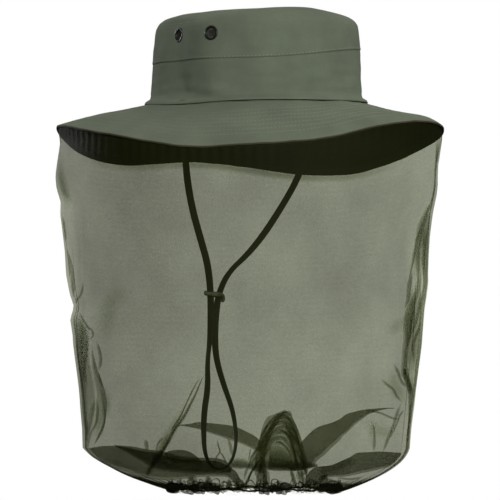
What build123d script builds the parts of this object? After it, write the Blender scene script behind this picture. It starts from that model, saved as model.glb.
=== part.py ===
from build123d import *
from math import atan2, cos, radians, sin, sqrt, tan
import os

# Wide-brimmed cloth hat with a fine net veil that hangs from the brim edge and
# gathers on an elastic hem. Millimetres. +Z is up, X runs ear to ear and Y runs
# front to back. The origin is the middle of the head opening, where the crown
# is sewn to the brim.

os.makedirs("parts", exist_ok=True)

# Cloth
CLOTH = 1.2
SEAM_GAP = 0.2
OUTLINE_POINTS = 24

# Crown: outer half-widths (x, y) at each height
CROWN_BASE = (94.5, 110.5)
CROWN_FLARE_TOP = (87.5, 104.0)
CROWN_MIDDLE = (85.5, 102.5)
CROWN_SHOULDER = (83.5, 100.0)
CROWN_ROUND = (79.5, 96.0)
CROWN_PLATEAU = (68.0, 84.0)
CROWN_CENTRE = (44.0, 58.0)
FLARE_HEIGHT = 6.5
MIDDLE_HEIGHT = 50.0
SHOULDER_HEIGHT = 76.0
ROUND_HEIGHT = 82.5
PLATEAU_HEIGHT = 86.0
CROWN_HEIGHT = 87.5

# Seam between the two crown bands: a plane that climbs towards one side
BAND_SEAM_HEIGHT = 43.0
BAND_SEAM_RISE = 0.06

# Sweatband inside the lower band
SWEATBAND_WIDTH = 32.0
SWEATBAND_THICK = 1.2

# Brim: cloth width from the seam, and how its edge droops round the hat
BRIM_INNER = (92.5, 108.5)
BRIM_WIDTH = 82.5
BRIM_WIDTH_SKEW = 6.7
BRIM_DROOP = 37.3
DROOP_ANGLE = 222.0
# Cosine and sine heights of one to five waves round the brim edge
BRIM_WAVES = [(10.0, 0.0), (-12.0, 4.2), (-6.0, -0.3), (2.4, 1.8), (-1.0, -1.8)]
BRIM_LONG_WAVES = 2
BRIM_CLOTH = 0.9
INTERLINING = 1.0
LAYER_GAP = 0.3

# Tape that holds the net under the brim edge
TAPE_WIDTH = 8.0
TAPE_THICK = 0.8
TAPE_INSET = 1.5

# Net: how far it has moved from the brim outline to its bottom outline at each height
NET_THICK = 1.2
NET_TOP_INSET = 3.5
NET_BOTTOM = (151.0, 136.0)
NET_LEVELS = [(-80.0, 0.1), (-140.0, 0.36), (-230.0, 0.66), (-318.0, 1.0)]
NET_FLOOR_LEVEL = -338.0
NET_FLOOR = (128.0, 118.0)
NET_END_LEVEL = -349.6
NET_CENTRE_SHIFT = 8.0

# Elastic hem
HEM_TOP = -350.0
HEM_HEIGHT = 9.0
HEM_OUTER = 82.0
HEM_DEPTH = 6.0
HEM_WALL = 0.9
HEM_SLIT = 0.8
ELASTIC_HEIGHT = 6.0
ELASTIC_THICK = 2.2
HEM_CENTRE = (-3.0, 4.0)

# Eyelets: two on each side of the upper band, their middle a little behind the ear line
EYELET_HEIGHT = 62.0
EYELET_ANGLE = 14.5
EYELET_SHIFT = 2.9
EYELET_FLANGE_R = 7.0
EYELET_BARREL_R = 5.2
EYELET_BORE_R = 4.6
EYELET_FLANGE_THICK = 0.7
EYELET_RIM = 0.3
EYELET_LENGTH = 3.2
WASHER_R = 7.0
WASHER_THICK = 0.5
WASHER_PLAY = 0.1
SCREEN_R = 4.5
SCREEN_THICK = 0.4
SCREEN_PITCH = 1.1
SCREEN_HOLES = 6
SCREEN_HOLE = 0.6
EYELET_TILT = 4.4

# Chin strap: flat braid that lies in one upright plane
STRAP_PLANE = 8.0
STRAP_WIDTH = 6.5
STRAP_THICK = 2.0
ANCHOR_X = 88.5
ANCHOR_TOP = 1.5
ANCHOR_SIZE = (3.2, 12.0, 12.5)
STRAP_ROUTE = [
    (-88.5, -12.0), (-88.3, -34.0), (-87.0, -64.0), (-79.5, -96.0), (-68.0, -124.0),
    (-57.5, -148.0), (-53.0, -173.0), (-51.0, -199.0), (-52.0, -219.0), (-57.5, -239.0),
    (-57.0, -262.0), (-62.5, -285.0), (-63.0, -306.0), (-61.5, -322.5), (-54.0, -334.0),
    (-41.0, -338.0), (-28.0, -334.0), (-20.0, -322.5), (-18.0, -306.0), (-23.0, -283.0),
    (-35.5, -260.0), (-46.0, -236.0), (-48.0, -214.0), (-46.5, -194.0), (-41.5, -173.0),
    (-28.0, -155.0), (-4.0, -140.0), (19.0, -121.0), (43.0, -96.0), (67.0, -68.0),
    (82.0, -39.0), (88.5, -12.0),
]
STRAP_ARC_SHARE = 0.45

# Keeper: oval plate with one slot that both strands pass through
KEEPER_CENTRE = (-48.0, -176.5)
KEEPER_LENGTH = 27.0
KEEPER_WIDTH = 13.5
KEEPER_THICK = 3.4
KEEPER_SLOT = (19.0, 8.4)


def ellipse_point(half_widths, angle, height=0.0):
    """Point on an upright-axis ellipse at a turn angle in degrees."""
    turn = radians(angle)
    return Vector(half_widths[0] * cos(turn), half_widths[1] * sin(turn), height)


def outward(half_widths, angle):
    """Unit normal of the ellipse, pointing away from the head."""
    turn = radians(angle)
    return Vector(cos(turn) / half_widths[0], sin(turn) / half_widths[1], 0).normalized()


def turn_angles():
    return [360.0 * step / OUTLINE_POINTS for step in range(OUTLINE_POINTS)]


def brim_point(angle, inset=0.0, drop=0.0):
    """Point on the brim's top surface, a given distance in from its edge."""
    seam = ellipse_point(BRIM_INNER, angle)
    heading = outward(BRIM_INNER, angle)
    theta = atan2(heading.Y, heading.X) - radians(DROOP_ANGLE)
    waves = [c * cos(n * theta) + s * sin(n * theta) for n, (c, s) in enumerate(BRIM_WAVES, start=1)]
    edge_z = -BRIM_DROOP + sum(waves)
    long_droop = -BRIM_DROOP + sum(waves[:BRIM_LONG_WAVES])
    width = BRIM_WIDTH - BRIM_WIDTH_SKEW * sin(theta)
    share = (width - inset) / width
    reach = sqrt(width ** 2 - long_droop ** 2)
    return seam + heading * reach * share + Vector(0, 0, edge_z * share - drop)


def closed_curve(points):
    return Edge.make_spline(points, periodic=True)


def brim_surface(drop, edge_inset=0.0):
    """Sloping surface from the head seam out to the brim edge."""
    inner = closed_curve([ellipse_point(BRIM_INNER, a, -drop) for a in turn_angles()])
    outer = closed_curve([brim_point(a, edge_inset, drop) for a in turn_angles()])
    return Face.make_surface_from_curves(inner, outer)


def brim_ring(drop, outer_inset, inner_inset):
    """Narrow sloping ring that follows the brim edge."""
    inner = closed_curve([brim_point(a, inner_inset, drop) for a in turn_angles()])
    outer = closed_curve([brim_point(a, outer_inset, drop) for a in turn_angles()])
    return Face.make_surface_from_curves(inner, outer)


def droop_frame_point(side, depth):
    """Point given along the brim's long and short directions."""
    droop = radians(DROOP_ANGLE)
    shift = side - NET_CENTRE_SHIFT
    across = Vector(-sin(droop), cos(droop), 0)
    return across * shift + Vector(cos(droop), sin(droop), 0) * depth


def net_bottom_point(half_widths, angle):
    """Point on a lower net outline, in the direction of a brim angle."""
    edge = brim_point(angle)
    theta = atan2(edge.Y, edge.X) - radians(DROOP_ANGLE)
    return droop_frame_point(half_widths[0] * sin(theta), half_widths[1] * cos(theta))


def level_point(spot, inset, height):
    """The same spot moved in towards the middle and set at a height."""
    flat = Vector(spot.X, spot.Y, 0)
    return flat - flat.normalized() * inset + Vector(0, 0, height)


def net_wall_curve(share, height, inset):
    """Net outline: brim outline at share 0, bottom outline at share 1."""
    points = []
    for angle in turn_angles():
        top = brim_point(angle, NET_TOP_INSET)
        bottom = net_bottom_point(NET_BOTTOM, angle)
        points.append(level_point(top * (1 - share) + bottom * share, inset, height))
    return closed_curve(points)


def net_floor_curve(inset, height):
    """Outline of the net where it turns in under the head."""
    spots = [net_bottom_point(NET_FLOOR, angle) for angle in turn_angles()]
    return closed_curve([level_point(spot, inset, height) for spot in spots])


def net_end_curve(radius, height):
    """Circle at the hem, starting in the same direction as the other outlines."""
    points = []
    for angle in turn_angles():
        edge = brim_point(angle)
        turn = atan2(edge.Y, edge.X)
        spoke = Vector(cos(turn), sin(turn), 0) * radius
        points.append(Vector(*HEM_CENTRE, height) + spoke)
    return closed_curve(points)


def net_side(inset, top_drop):
    """Outlines down one side of the net wall, from the brim edge to the hem."""
    top = closed_curve([brim_point(a, NET_TOP_INSET + inset, top_drop) for a in turn_angles()])
    wall = [net_wall_curve(share, height, inset) for height, share in NET_LEVELS]
    floor = net_floor_curve(inset, NET_FLOOR_LEVEL + inset)
    end = net_end_curve(HEM_OUTER - 1.0 - inset, NET_END_LEVEL + inset)
    return [top, *wall, floor, end]


def band_seam_plane(offset):
    """Tilted plane of the seam between the crown bands."""
    droop = radians(DROOP_ANGLE)
    across = Vector(-sin(droop), cos(droop), 0)
    normal = (Vector(0, 0, 1) - across * BAND_SEAM_RISE).normalized()
    return Plane(origin=(0, 0, BAND_SEAM_HEIGHT + offset), z_dir=normal)


def shrink(half_widths, amount):
    return (half_widths[0] - amount, half_widths[1] - amount)


lower_profile = [(0.1, CROWN_BASE), (FLARE_HEIGHT, CROWN_FLARE_TOP), (MIDDLE_HEIGHT, CROWN_MIDDLE)]
upper_profile = [(BAND_SEAM_HEIGHT - 10.0, CROWN_MIDDLE), (SHOULDER_HEIGHT, CROWN_SHOULDER)]
tip_profile = [
    (SHOULDER_HEIGHT + SEAM_GAP, CROWN_SHOULDER),
    (ROUND_HEIGHT, CROWN_ROUND),
    (PLATEAU_HEIGHT, CROWN_PLATEAU),
    (CROWN_HEIGHT, CROWN_CENTRE),
]

# Lower crown band: flares where it meets the brim
with BuildPart() as crown_lower_band:
    for height, half_widths in lower_profile:
        with BuildSketch(Plane.XY.offset(height)):
            Ellipse(*half_widths)
    loft(ruled=True)
    for height, half_widths in lower_profile:
        with BuildSketch(Plane.XY.offset(height)):
            Ellipse(*shrink(half_widths, CLOTH))
    loft(ruled=True, mode=Mode.SUBTRACT)
    split(bisect_by=band_seam_plane(-SEAM_GAP / 2), keep=Keep.BOTTOM)
crown_lower_band.part.label = "crown_lower_band"
export_step(crown_lower_band.part, "parts/crown_lower_band.step")


def eyelet_plane(side, end):
    """Plane on the outside of the upper band; its Z points away from the head."""
    turn = EYELET_ANGLE * end + EYELET_SHIFT
    angle = turn if side > 0 else 180.0 - turn
    share = (EYELET_HEIGHT - upper_profile[0][0]) / (SHOULDER_HEIGHT - upper_profile[0][0])
    half_widths = tuple(m * (1 - share) + s * share for m, s in zip(CROWN_MIDDLE, CROWN_SHOULDER))
    heading = outward(half_widths, angle)
    lift = Vector(0, 0, tan(radians(EYELET_TILT)))
    along = Vector(-heading.Y, heading.X, 0)
    return Plane(
        origin=ellipse_point(half_widths, angle, EYELET_HEIGHT),
        x_dir=along,
        z_dir=(heading + lift).normalized(),
    )


EYELET_PLACES = {
    "left_front": (-1, -1),
    "left_rear": (-1, 1),
    "right_front": (1, -1),
    "right_rear": (1, 1),
}

# Upper crown band, with a hole for each eyelet
with BuildPart() as crown_upper_band:
    for height, half_widths in upper_profile:
        with BuildSketch(Plane.XY.offset(height)):
            Ellipse(*half_widths)
    loft(ruled=True)
    for height, half_widths in upper_profile:
        with BuildSketch(Plane.XY.offset(height)):
            Ellipse(*shrink(half_widths, CLOTH))
    loft(ruled=True, mode=Mode.SUBTRACT)
    split(bisect_by=band_seam_plane(SEAM_GAP / 2), keep=Keep.TOP)
    for side, end in EYELET_PLACES.values():
        with BuildSketch(eyelet_plane(side, end).offset(-EYELET_LENGTH)):
            Circle(EYELET_BARREL_R + SEAM_GAP)
        extrude(amount=2 * EYELET_LENGTH, mode=Mode.SUBTRACT)
crown_upper_band.part.label = "crown_upper_band"
export_step(crown_upper_band.part, "parts/crown_upper_band.step")

# Crown tip: flat oval with a rounded shoulder
with BuildPart() as crown_tip:
    for height, half_widths in tip_profile:
        with BuildSketch(Plane.XY.offset(height)):
            Ellipse(*half_widths)
    loft(ruled=True)
    for height, half_widths in tip_profile:
        inner_height = height if height < ROUND_HEIGHT else height - CLOTH
        with BuildSketch(Plane.XY.offset(inner_height)):
            Ellipse(*shrink(half_widths, CLOTH))
    loft(ruled=True, mode=Mode.SUBTRACT)
crown_tip.part.label = "crown_tip"
export_step(crown_tip.part, "parts/crown_tip.step")

# Sweatband: tape round the inside of the lower band
with BuildPart() as sweatband:
    band_outer = shrink(CROWN_MIDDLE, CLOTH + SEAM_GAP)
    with BuildSketch(Plane.XY.offset(SEAM_GAP)):
        Ellipse(*band_outer)
        Ellipse(*shrink(band_outer, SWEATBAND_THICK), mode=Mode.SUBTRACT)
    extrude(amount=SWEATBAND_WIDTH)
sweatband.part.label = "sweatband"
export_step(sweatband.part, "parts/sweatband.step")

# Brim: top cloth, stiff interlining and under cloth, edge to edge
with BuildPart() as brim_top_layer:
    extrude(to_extrude=brim_surface(BRIM_CLOTH), amount=BRIM_CLOTH, dir=(0, 0, 1))
brim_top_layer.part.label = "brim_top_layer"
export_step(brim_top_layer.part, "parts/brim_top_layer.step")

interlining_drop = BRIM_CLOTH + LAYER_GAP + INTERLINING
with BuildPart() as brim_interlining:
    extrude(to_extrude=brim_surface(interlining_drop, 1.5), amount=INTERLINING, dir=(0, 0, 1))
brim_interlining.part.label = "brim_interlining"
export_step(brim_interlining.part, "parts/brim_interlining.step")

under_drop = interlining_drop + LAYER_GAP + BRIM_CLOTH
with BuildPart() as brim_under_layer:
    extrude(to_extrude=brim_surface(under_drop), amount=BRIM_CLOTH, dir=(0, 0, 1))
brim_under_layer.part.label = "brim_under_layer"
export_step(brim_under_layer.part, "parts/brim_under_layer.step")

# Tape under the brim edge that the net is sewn to
tape_drop = under_drop + LAYER_GAP + TAPE_THICK
with BuildPart() as net_heading_tape:
    tape_face = brim_ring(tape_drop, TAPE_INSET, TAPE_INSET + TAPE_WIDTH)
    extrude(to_extrude=tape_face, amount=TAPE_THICK, dir=(0, 0, 1))
net_heading_tape.part.label = "net_heading_tape"
export_step(net_heading_tape.part, "parts/net_heading_tape.step")

# Net veil: one closed wall from the tape down to the hem, open at both ends
net_outside = net_side(0.0, tape_drop + SEAM_GAP)
net_inside = net_side(NET_THICK, tape_drop + SEAM_GAP)
net_faces = [Face.make_surface_from_curves(*pair) for pair in zip(net_outside, net_outside[1:])]
net_faces += [Face.make_surface_from_curves(*pair) for pair in zip(net_inside, net_inside[1:])]
net_faces.append(Face.make_surface_from_curves(net_outside[0], net_inside[0]))
net_faces.append(Face.make_surface_from_curves(net_outside[-1], net_inside[-1]))
with BuildPart() as netting:
    add(Solid(Shell(net_faces)))
netting.part.label = "netting"
export_step(netting.part, "parts/netting.step")

# Hem casing: net folded round the elastic, with a slit where the fold closes
hem_plane = Plane(origin=(*HEM_CENTRE, HEM_TOP - HEM_HEIGHT))
with BuildPart() as hem_casing:
    with BuildSketch(hem_plane):
        Circle(HEM_OUTER)
        Circle(HEM_OUTER - HEM_DEPTH, mode=Mode.SUBTRACT)
    extrude(amount=HEM_HEIGHT)
    with BuildSketch(hem_plane.offset(HEM_WALL)):
        Circle(HEM_OUTER - HEM_WALL)
        Circle(HEM_OUTER - HEM_DEPTH + HEM_WALL, mode=Mode.SUBTRACT)
    extrude(amount=HEM_HEIGHT - 2 * HEM_WALL, mode=Mode.SUBTRACT)
    with BuildSketch(hem_plane.offset(HEM_HEIGHT - 2 * HEM_WALL)):
        Circle(HEM_OUTER - HEM_WALL)
        Circle(HEM_OUTER - HEM_WALL - HEM_SLIT, mode=Mode.SUBTRACT)
    extrude(amount=2 * HEM_WALL, mode=Mode.SUBTRACT)
hem_casing.part.label = "hem_casing"
export_step(hem_casing.part, "parts/hem_casing.step")

# Elastic inside the casing
elastic_outer = HEM_OUTER - HEM_DEPTH / 2 + ELASTIC_THICK / 2
with BuildPart() as hem_elastic:
    with BuildSketch(hem_plane.offset((HEM_HEIGHT - ELASTIC_HEIGHT) / 2)):
        Circle(elastic_outer)
        Circle(elastic_outer - ELASTIC_THICK, mode=Mode.SUBTRACT)
    extrude(amount=ELASTIC_HEIGHT)
hem_elastic.part.label = "hem_elastic"
export_step(hem_elastic.part, "parts/hem_elastic.step")

# Eyelets: barrel with a rolled flange outside, washer inside, vent screen within
for place, (side, end) in EYELET_PLACES.items():
    face = eyelet_plane(side, end)
    with BuildPart() as eyelet:
        with BuildSketch(face.offset(EYELET_RIM)):
            Circle(EYELET_FLANGE_R)
        extrude(amount=EYELET_FLANGE_THICK)
        with BuildSketch(face.offset(EYELET_FLANGE_THICK - EYELET_LENGTH)):
            Circle(EYELET_BARREL_R)
        extrude(amount=EYELET_LENGTH)
        with BuildSketch(face.offset(-EYELET_LENGTH)):
            Circle(EYELET_BORE_R)
        extrude(amount=2 * EYELET_LENGTH, mode=Mode.SUBTRACT)
        rim_edges = eyelet.edges().filter_by(GeomType.CIRCLE)
        outer_rim = rim_edges.filter_by(lambda e: abs(e.radius - EYELET_FLANGE_R) < SEAM_GAP)
        fillet(outer_rim.sort_by(Axis(face.origin, face.z_dir))[-1], EYELET_RIM)
    eyelet.part.label = f"eyelet_{place}"
    export_step(eyelet.part, f"parts/eyelet_{place}.step")

    washer_level = -CLOTH - EYELET_RIM - WASHER_THICK
    with BuildPart() as eyelet_washer:
        with BuildSketch(face.offset(washer_level)):
            Circle(WASHER_R)
            Circle(EYELET_BARREL_R + WASHER_PLAY, mode=Mode.SUBTRACT)
        extrude(amount=WASHER_THICK)
    eyelet_washer.part.label = f"eyelet_washer_{place}"
    export_step(eyelet_washer.part, f"parts/eyelet_washer_{place}.step")

    with BuildPart() as eyelet_screen:
        with BuildSketch(face.offset(-CLOTH)):
            Circle(SCREEN_R)
            with GridLocations(SCREEN_PITCH, SCREEN_PITCH, SCREEN_HOLES, SCREEN_HOLES):
                Rectangle(SCREEN_HOLE, SCREEN_HOLE, mode=Mode.SUBTRACT)
        extrude(amount=SCREEN_THICK)
    eyelet_screen.part.label = f"eyelet_screen_{place}"
    export_step(eyelet_screen.part, f"parts/eyelet_screen_{place}.step")

# Strap anchors: folded tape ends sewn into the seam between crown and brim
for name, anchor_x in {"left": -ANCHOR_X, "right": ANCHOR_X}.items():
    with BuildPart() as strap_anchor:
        with BuildSketch(Plane(origin=(anchor_x, STRAP_PLANE, ANCHOR_TOP - ANCHOR_SIZE[2]))):
            Rectangle(ANCHOR_SIZE[0], ANCHOR_SIZE[1])
        extrude(amount=ANCHOR_SIZE[2])
        fillet(strap_anchor.edges().filter_by(Axis.Z), ANCHOR_SIZE[0] / 3)
    strap_anchor.part.label = f"strap_anchor_{name}"
    export_step(strap_anchor.part, f"parts/strap_anchor_{name}.step")


def arc_radii(route):
    """The largest even arc at each corner of a route."""
    spots = [Vector(x, z) for x, z in route]
    radii = []
    for before, corner, after in zip(spots, spots[1:], spots[2:]):
        run_in = corner - before
        run_out = after - corner
        turn = radians(run_in.get_angle(run_out))
        radii.append(STRAP_ARC_SHARE * min(run_in.length, run_out.length) / tan(turn / 2))
    return radii


# Chin strap: down from one anchor, through the keeper, round the loop and back
strap_radii = arc_radii(STRAP_ROUTE)
with BuildPart() as chin_strap:
    with BuildLine(Plane.XZ.offset(-STRAP_PLANE)) as strap_line:
        FilletPolyline(*STRAP_ROUTE, radius=strap_radii)
    strap_wire = strap_line.wire()
    with BuildSketch(Plane(origin=strap_wire @ 0, x_dir=(0, 1, 0), z_dir=strap_wire % 0)):
        Rectangle(STRAP_WIDTH, STRAP_THICK)
    sweep(path=strap_wire)
chin_strap.part.label = "chin_strap"
export_step(chin_strap.part, "parts/chin_strap.step")
strap_ideal = strap_wire.length * STRAP_WIDTH * STRAP_THICK
print("strap length", round(strap_wire.length, 1), "radii", [round(r) for r in strap_radii])
print("strap volume", round(chin_strap.part.volume), "section times length", round(strap_ideal))

# Keeper: oval plate that both strands of the strap pass through
with BuildPart() as strap_keeper:
    keeper_bottom = KEEPER_CENTRE[1] - KEEPER_THICK / 2
    with BuildSketch(Plane(origin=(KEEPER_CENTRE[0], STRAP_PLANE, keeper_bottom))):
        SlotOverall(KEEPER_LENGTH, KEEPER_WIDTH)
        SlotOverall(*KEEPER_SLOT, mode=Mode.SUBTRACT)
    extrude(amount=KEEPER_THICK)
    fillet(strap_keeper.edges().filter_by(Plane.XY), KEEPER_THICK / 4)
strap_keeper.part.label = "strap_keeper"
export_step(strap_keeper.part, "parts/strap_keeper.step")
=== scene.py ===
import math

import bmesh
import bpy
import numpy as np
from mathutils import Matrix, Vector, noise


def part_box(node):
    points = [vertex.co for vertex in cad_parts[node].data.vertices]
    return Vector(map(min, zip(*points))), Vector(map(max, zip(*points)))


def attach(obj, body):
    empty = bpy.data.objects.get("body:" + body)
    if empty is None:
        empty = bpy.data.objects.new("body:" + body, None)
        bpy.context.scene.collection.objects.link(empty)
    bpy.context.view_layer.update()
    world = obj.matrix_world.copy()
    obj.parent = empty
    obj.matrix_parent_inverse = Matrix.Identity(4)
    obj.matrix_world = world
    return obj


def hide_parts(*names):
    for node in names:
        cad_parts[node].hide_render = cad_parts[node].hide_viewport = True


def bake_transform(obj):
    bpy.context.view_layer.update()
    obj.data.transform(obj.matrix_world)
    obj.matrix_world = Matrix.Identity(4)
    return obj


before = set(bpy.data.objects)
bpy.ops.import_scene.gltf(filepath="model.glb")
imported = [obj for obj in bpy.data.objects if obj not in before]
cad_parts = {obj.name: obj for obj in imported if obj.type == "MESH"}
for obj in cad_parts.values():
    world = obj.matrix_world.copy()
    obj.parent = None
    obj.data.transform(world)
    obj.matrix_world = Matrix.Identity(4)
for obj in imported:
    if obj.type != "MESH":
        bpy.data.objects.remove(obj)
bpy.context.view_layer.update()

MM = 0.001

# The hat is seen from its front left quarter, level with the middle of the veil.
VIEW_TURN = math.radians(-48)
TO_CAMERA = np.array([math.sin(VIEW_TURN), -math.cos(VIEW_TURN), 0.0])
TO_RIGHT = np.array([math.cos(VIEW_TURN), math.sin(VIEW_TURN), 0.0])
UP = np.array([0.0, 0.0, 1.0])
VIEW_DISTANCE = 6.0
VIEW_WIDTH = 0.4625
VIEW_HEIGHT_CENTRE = -0.1350
VIEW_SIDE_CENTRE = -0.0055
CAMERA_HEIGHT = -0.2550
SENSOR = 36.0


def place(right, toward, height):
    """Point from distances to the right, toward the camera and up. Takes numbers or arrays."""
    right, toward, height = np.broadcast_arrays(right, toward, height)
    return right[..., None] * TO_RIGHT + toward[..., None] * TO_CAMERA + height[..., None] * UP


def make_camera():
    aim = place(VIEW_SIDE_CENTRE, 0.0, VIEW_HEIGHT_CENTRE)
    data = bpy.data.cameras.new("camera")
    data.sensor_width = SENSOR
    data.lens = SENSOR * VIEW_DISTANCE / VIEW_WIDTH
    data.clip_start, data.clip_end = 0.1, 60.0
    camera = bpy.data.objects.new("camera", data)
    bpy.context.scene.collection.objects.link(camera)
    camera.location = place(VIEW_SIDE_CENTRE, VIEW_DISTANCE, CAMERA_HEIGHT)
    camera.rotation_mode = "QUATERNION"
    camera.rotation_quaternion = (Vector(aim) - camera.location).to_track_quat("-Z", "Y")
    bpy.context.scene.camera = camera


make_camera()


# ---------------------------------------------------------------- mesh helpers


def mesh_piece(name, points, faces, uvs=None, material=None, smooth=True):
    """A mesh object from points, faces and, where given, one uv per face corner.

    A fourth number on the points is kept as how far the cloth is spread open there.
    """
    mesh = bpy.data.meshes.new(name)
    points = np.asarray(points, float)
    mesh.from_pydata(points[:, :3].tolist(), [], faces)
    if points.shape[1] > 3:
        spread = mesh.attributes.new("spread", "FLOAT", "POINT")
        spread.data.foreach_set("value", points[:, 3].astype(np.float32))
    if uvs is not None:
        layer = mesh.uv_layers.new(name="cloth")
        layer.data.foreach_set("uv", np.asarray(uvs, np.float32).ravel())
    mesh.polygons.foreach_set("use_smooth", [smooth] * len(mesh.polygons))
    mesh.update()
    piece = bpy.data.objects.new(name, mesh)
    bpy.context.scene.collection.objects.link(piece)
    if material is not None:
        mesh.materials.append(material)
    return piece


def grid_mesh(grid, uv, wrap_rows=False, wrap_columns=True):
    """Points, faces and corner uvs of a grid of points; uv has one more column than a wrapped grid."""
    rows, columns = grid.shape[:2]
    faces, corners = [], []
    row_steps = rows if wrap_rows else rows - 1
    column_steps = columns if wrap_columns else columns - 1
    uv_rows, uv_columns = uv.shape[:2]
    for r in range(row_steps):
        r_next = (r + 1) % rows
        for c in range(column_steps):
            c_next = (c + 1) % columns
            near, far = r * columns, r_next * columns
            faces.append((near + c, near + c_next, far + c_next, far + c))
            u_r, u_c = min(r + 1, uv_rows - 1), min(c + 1, uv_columns - 1)
            corners += [uv[r, c], uv[r, u_c], uv[u_r, u_c], uv[u_r, c]]
    return grid.reshape(-1, grid.shape[-1]), faces, corners


def grid_piece(name, grid, uv, material, wrap_rows=False, wrap_columns=True):
    points, faces, corners = grid_mesh(grid, uv, wrap_rows, wrap_columns)
    return mesh_piece(name, points, faces, corners, material)


def capped(tube, count):
    """A tube's points, faces and uvs with its first and last rings, of count points, closed."""
    points, faces, uvs = tube
    faces.append(tuple(range(count))[::-1])
    faces.append(tuple(range(len(points) - count, len(points))))
    uvs += [(0, 0)] * count * 2
    return points, faces, uvs


def fit(piece, body, node=None):
    """Put a piece on its body and in place of its CAD node."""
    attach(piece, body)
    if node is not None:
        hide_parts(node)
    return piece


def joined(parts):
    """One points, faces and uvs set from several."""
    points, faces, corners, first = [], [], [], 0
    for part_points, part_faces, part_corners in parts:
        points.append(np.asarray(part_points))
        faces += [tuple(first + i for i in face) for face in part_faces]
        corners += list(part_corners)
        first += len(points[-1])
    return np.concatenate(points), faces, corners


def smooth_path(points, count):
    """Catmull-Rom curve through given points, as evenly timed samples."""
    points = np.asarray(points, float)
    padded = np.concatenate([[2 * points[0] - points[1]], points, [2 * points[-1] - points[-2]]])
    times = np.linspace(0, len(points) - 1, count)
    out = []
    for t in times:
        i = min(int(t), len(points) - 2)
        f = t - i
        a, b, c, d = padded[i:i + 4]
        out.append(0.5 * (2 * b + (c - a) * f + (2 * a - 5 * b + 4 * c - d) * f * f
                          + (3 * b - a - 3 * c + d) * f ** 3))
    return np.array(out)


def soft_step(x, low, high):
    t = np.clip((np.asarray(x, float) - low) / (high - low), 0, 1)
    return t * t * (3 - 2 * t)


def unit(vectors):
    return vectors / np.linalg.norm(vectors, axis=-1, keepdims=True)


def squared(wave, power):
    """A wave with flatter humps, or with sharper ones where power is over 1."""
    return np.sign(wave) * np.abs(wave) ** power


def compass(angle):
    """Level unit vectors at turn angles."""
    return np.stack([np.cos(angle), np.sin(angle)], axis=-1)


def oval_ring(half_x, half_y, angle, height):
    """Points at turn angles on an oval about the upright axis."""
    return np.stack([half_x * np.cos(angle), half_y * np.sin(angle), height + 0 * angle], axis=-1)


def outward_at(points):
    """Level unit vectors that point away from the upright axis."""
    return unit(points * np.array([1.0, 1.0, 0.0]))


def noise_at(points, scale, seed=0.0):
    """Smooth noise from -1 to 1 at each point of an array."""
    flat = np.asarray(points, float).reshape(-1, 3) * scale + seed
    values = [noise.noise(Vector(p)) for p in flat]
    return np.array(values).reshape(np.asarray(points).shape[:-1])


def noise_layers(points, layers):
    """Sum of smooth noises, each given as scale, seed, size and the share of height that counts."""
    return sum(noise_at(points * np.array([1.0, 1.0, tall]), scale, seed) * size
               for scale, seed, size, tall in layers)


def turns(columns):
    return np.linspace(0, 2 * math.pi, columns, endpoint=False)


def grid_uv(rows, columns, width, length):
    """Cloth coordinates in metres for a grid of that size."""
    across, down = np.meshgrid(np.linspace(0, width, columns), np.linspace(0, length, rows))
    return np.stack([across, down], axis=-1)


# ------------------------------------------------------------------- materials


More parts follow.
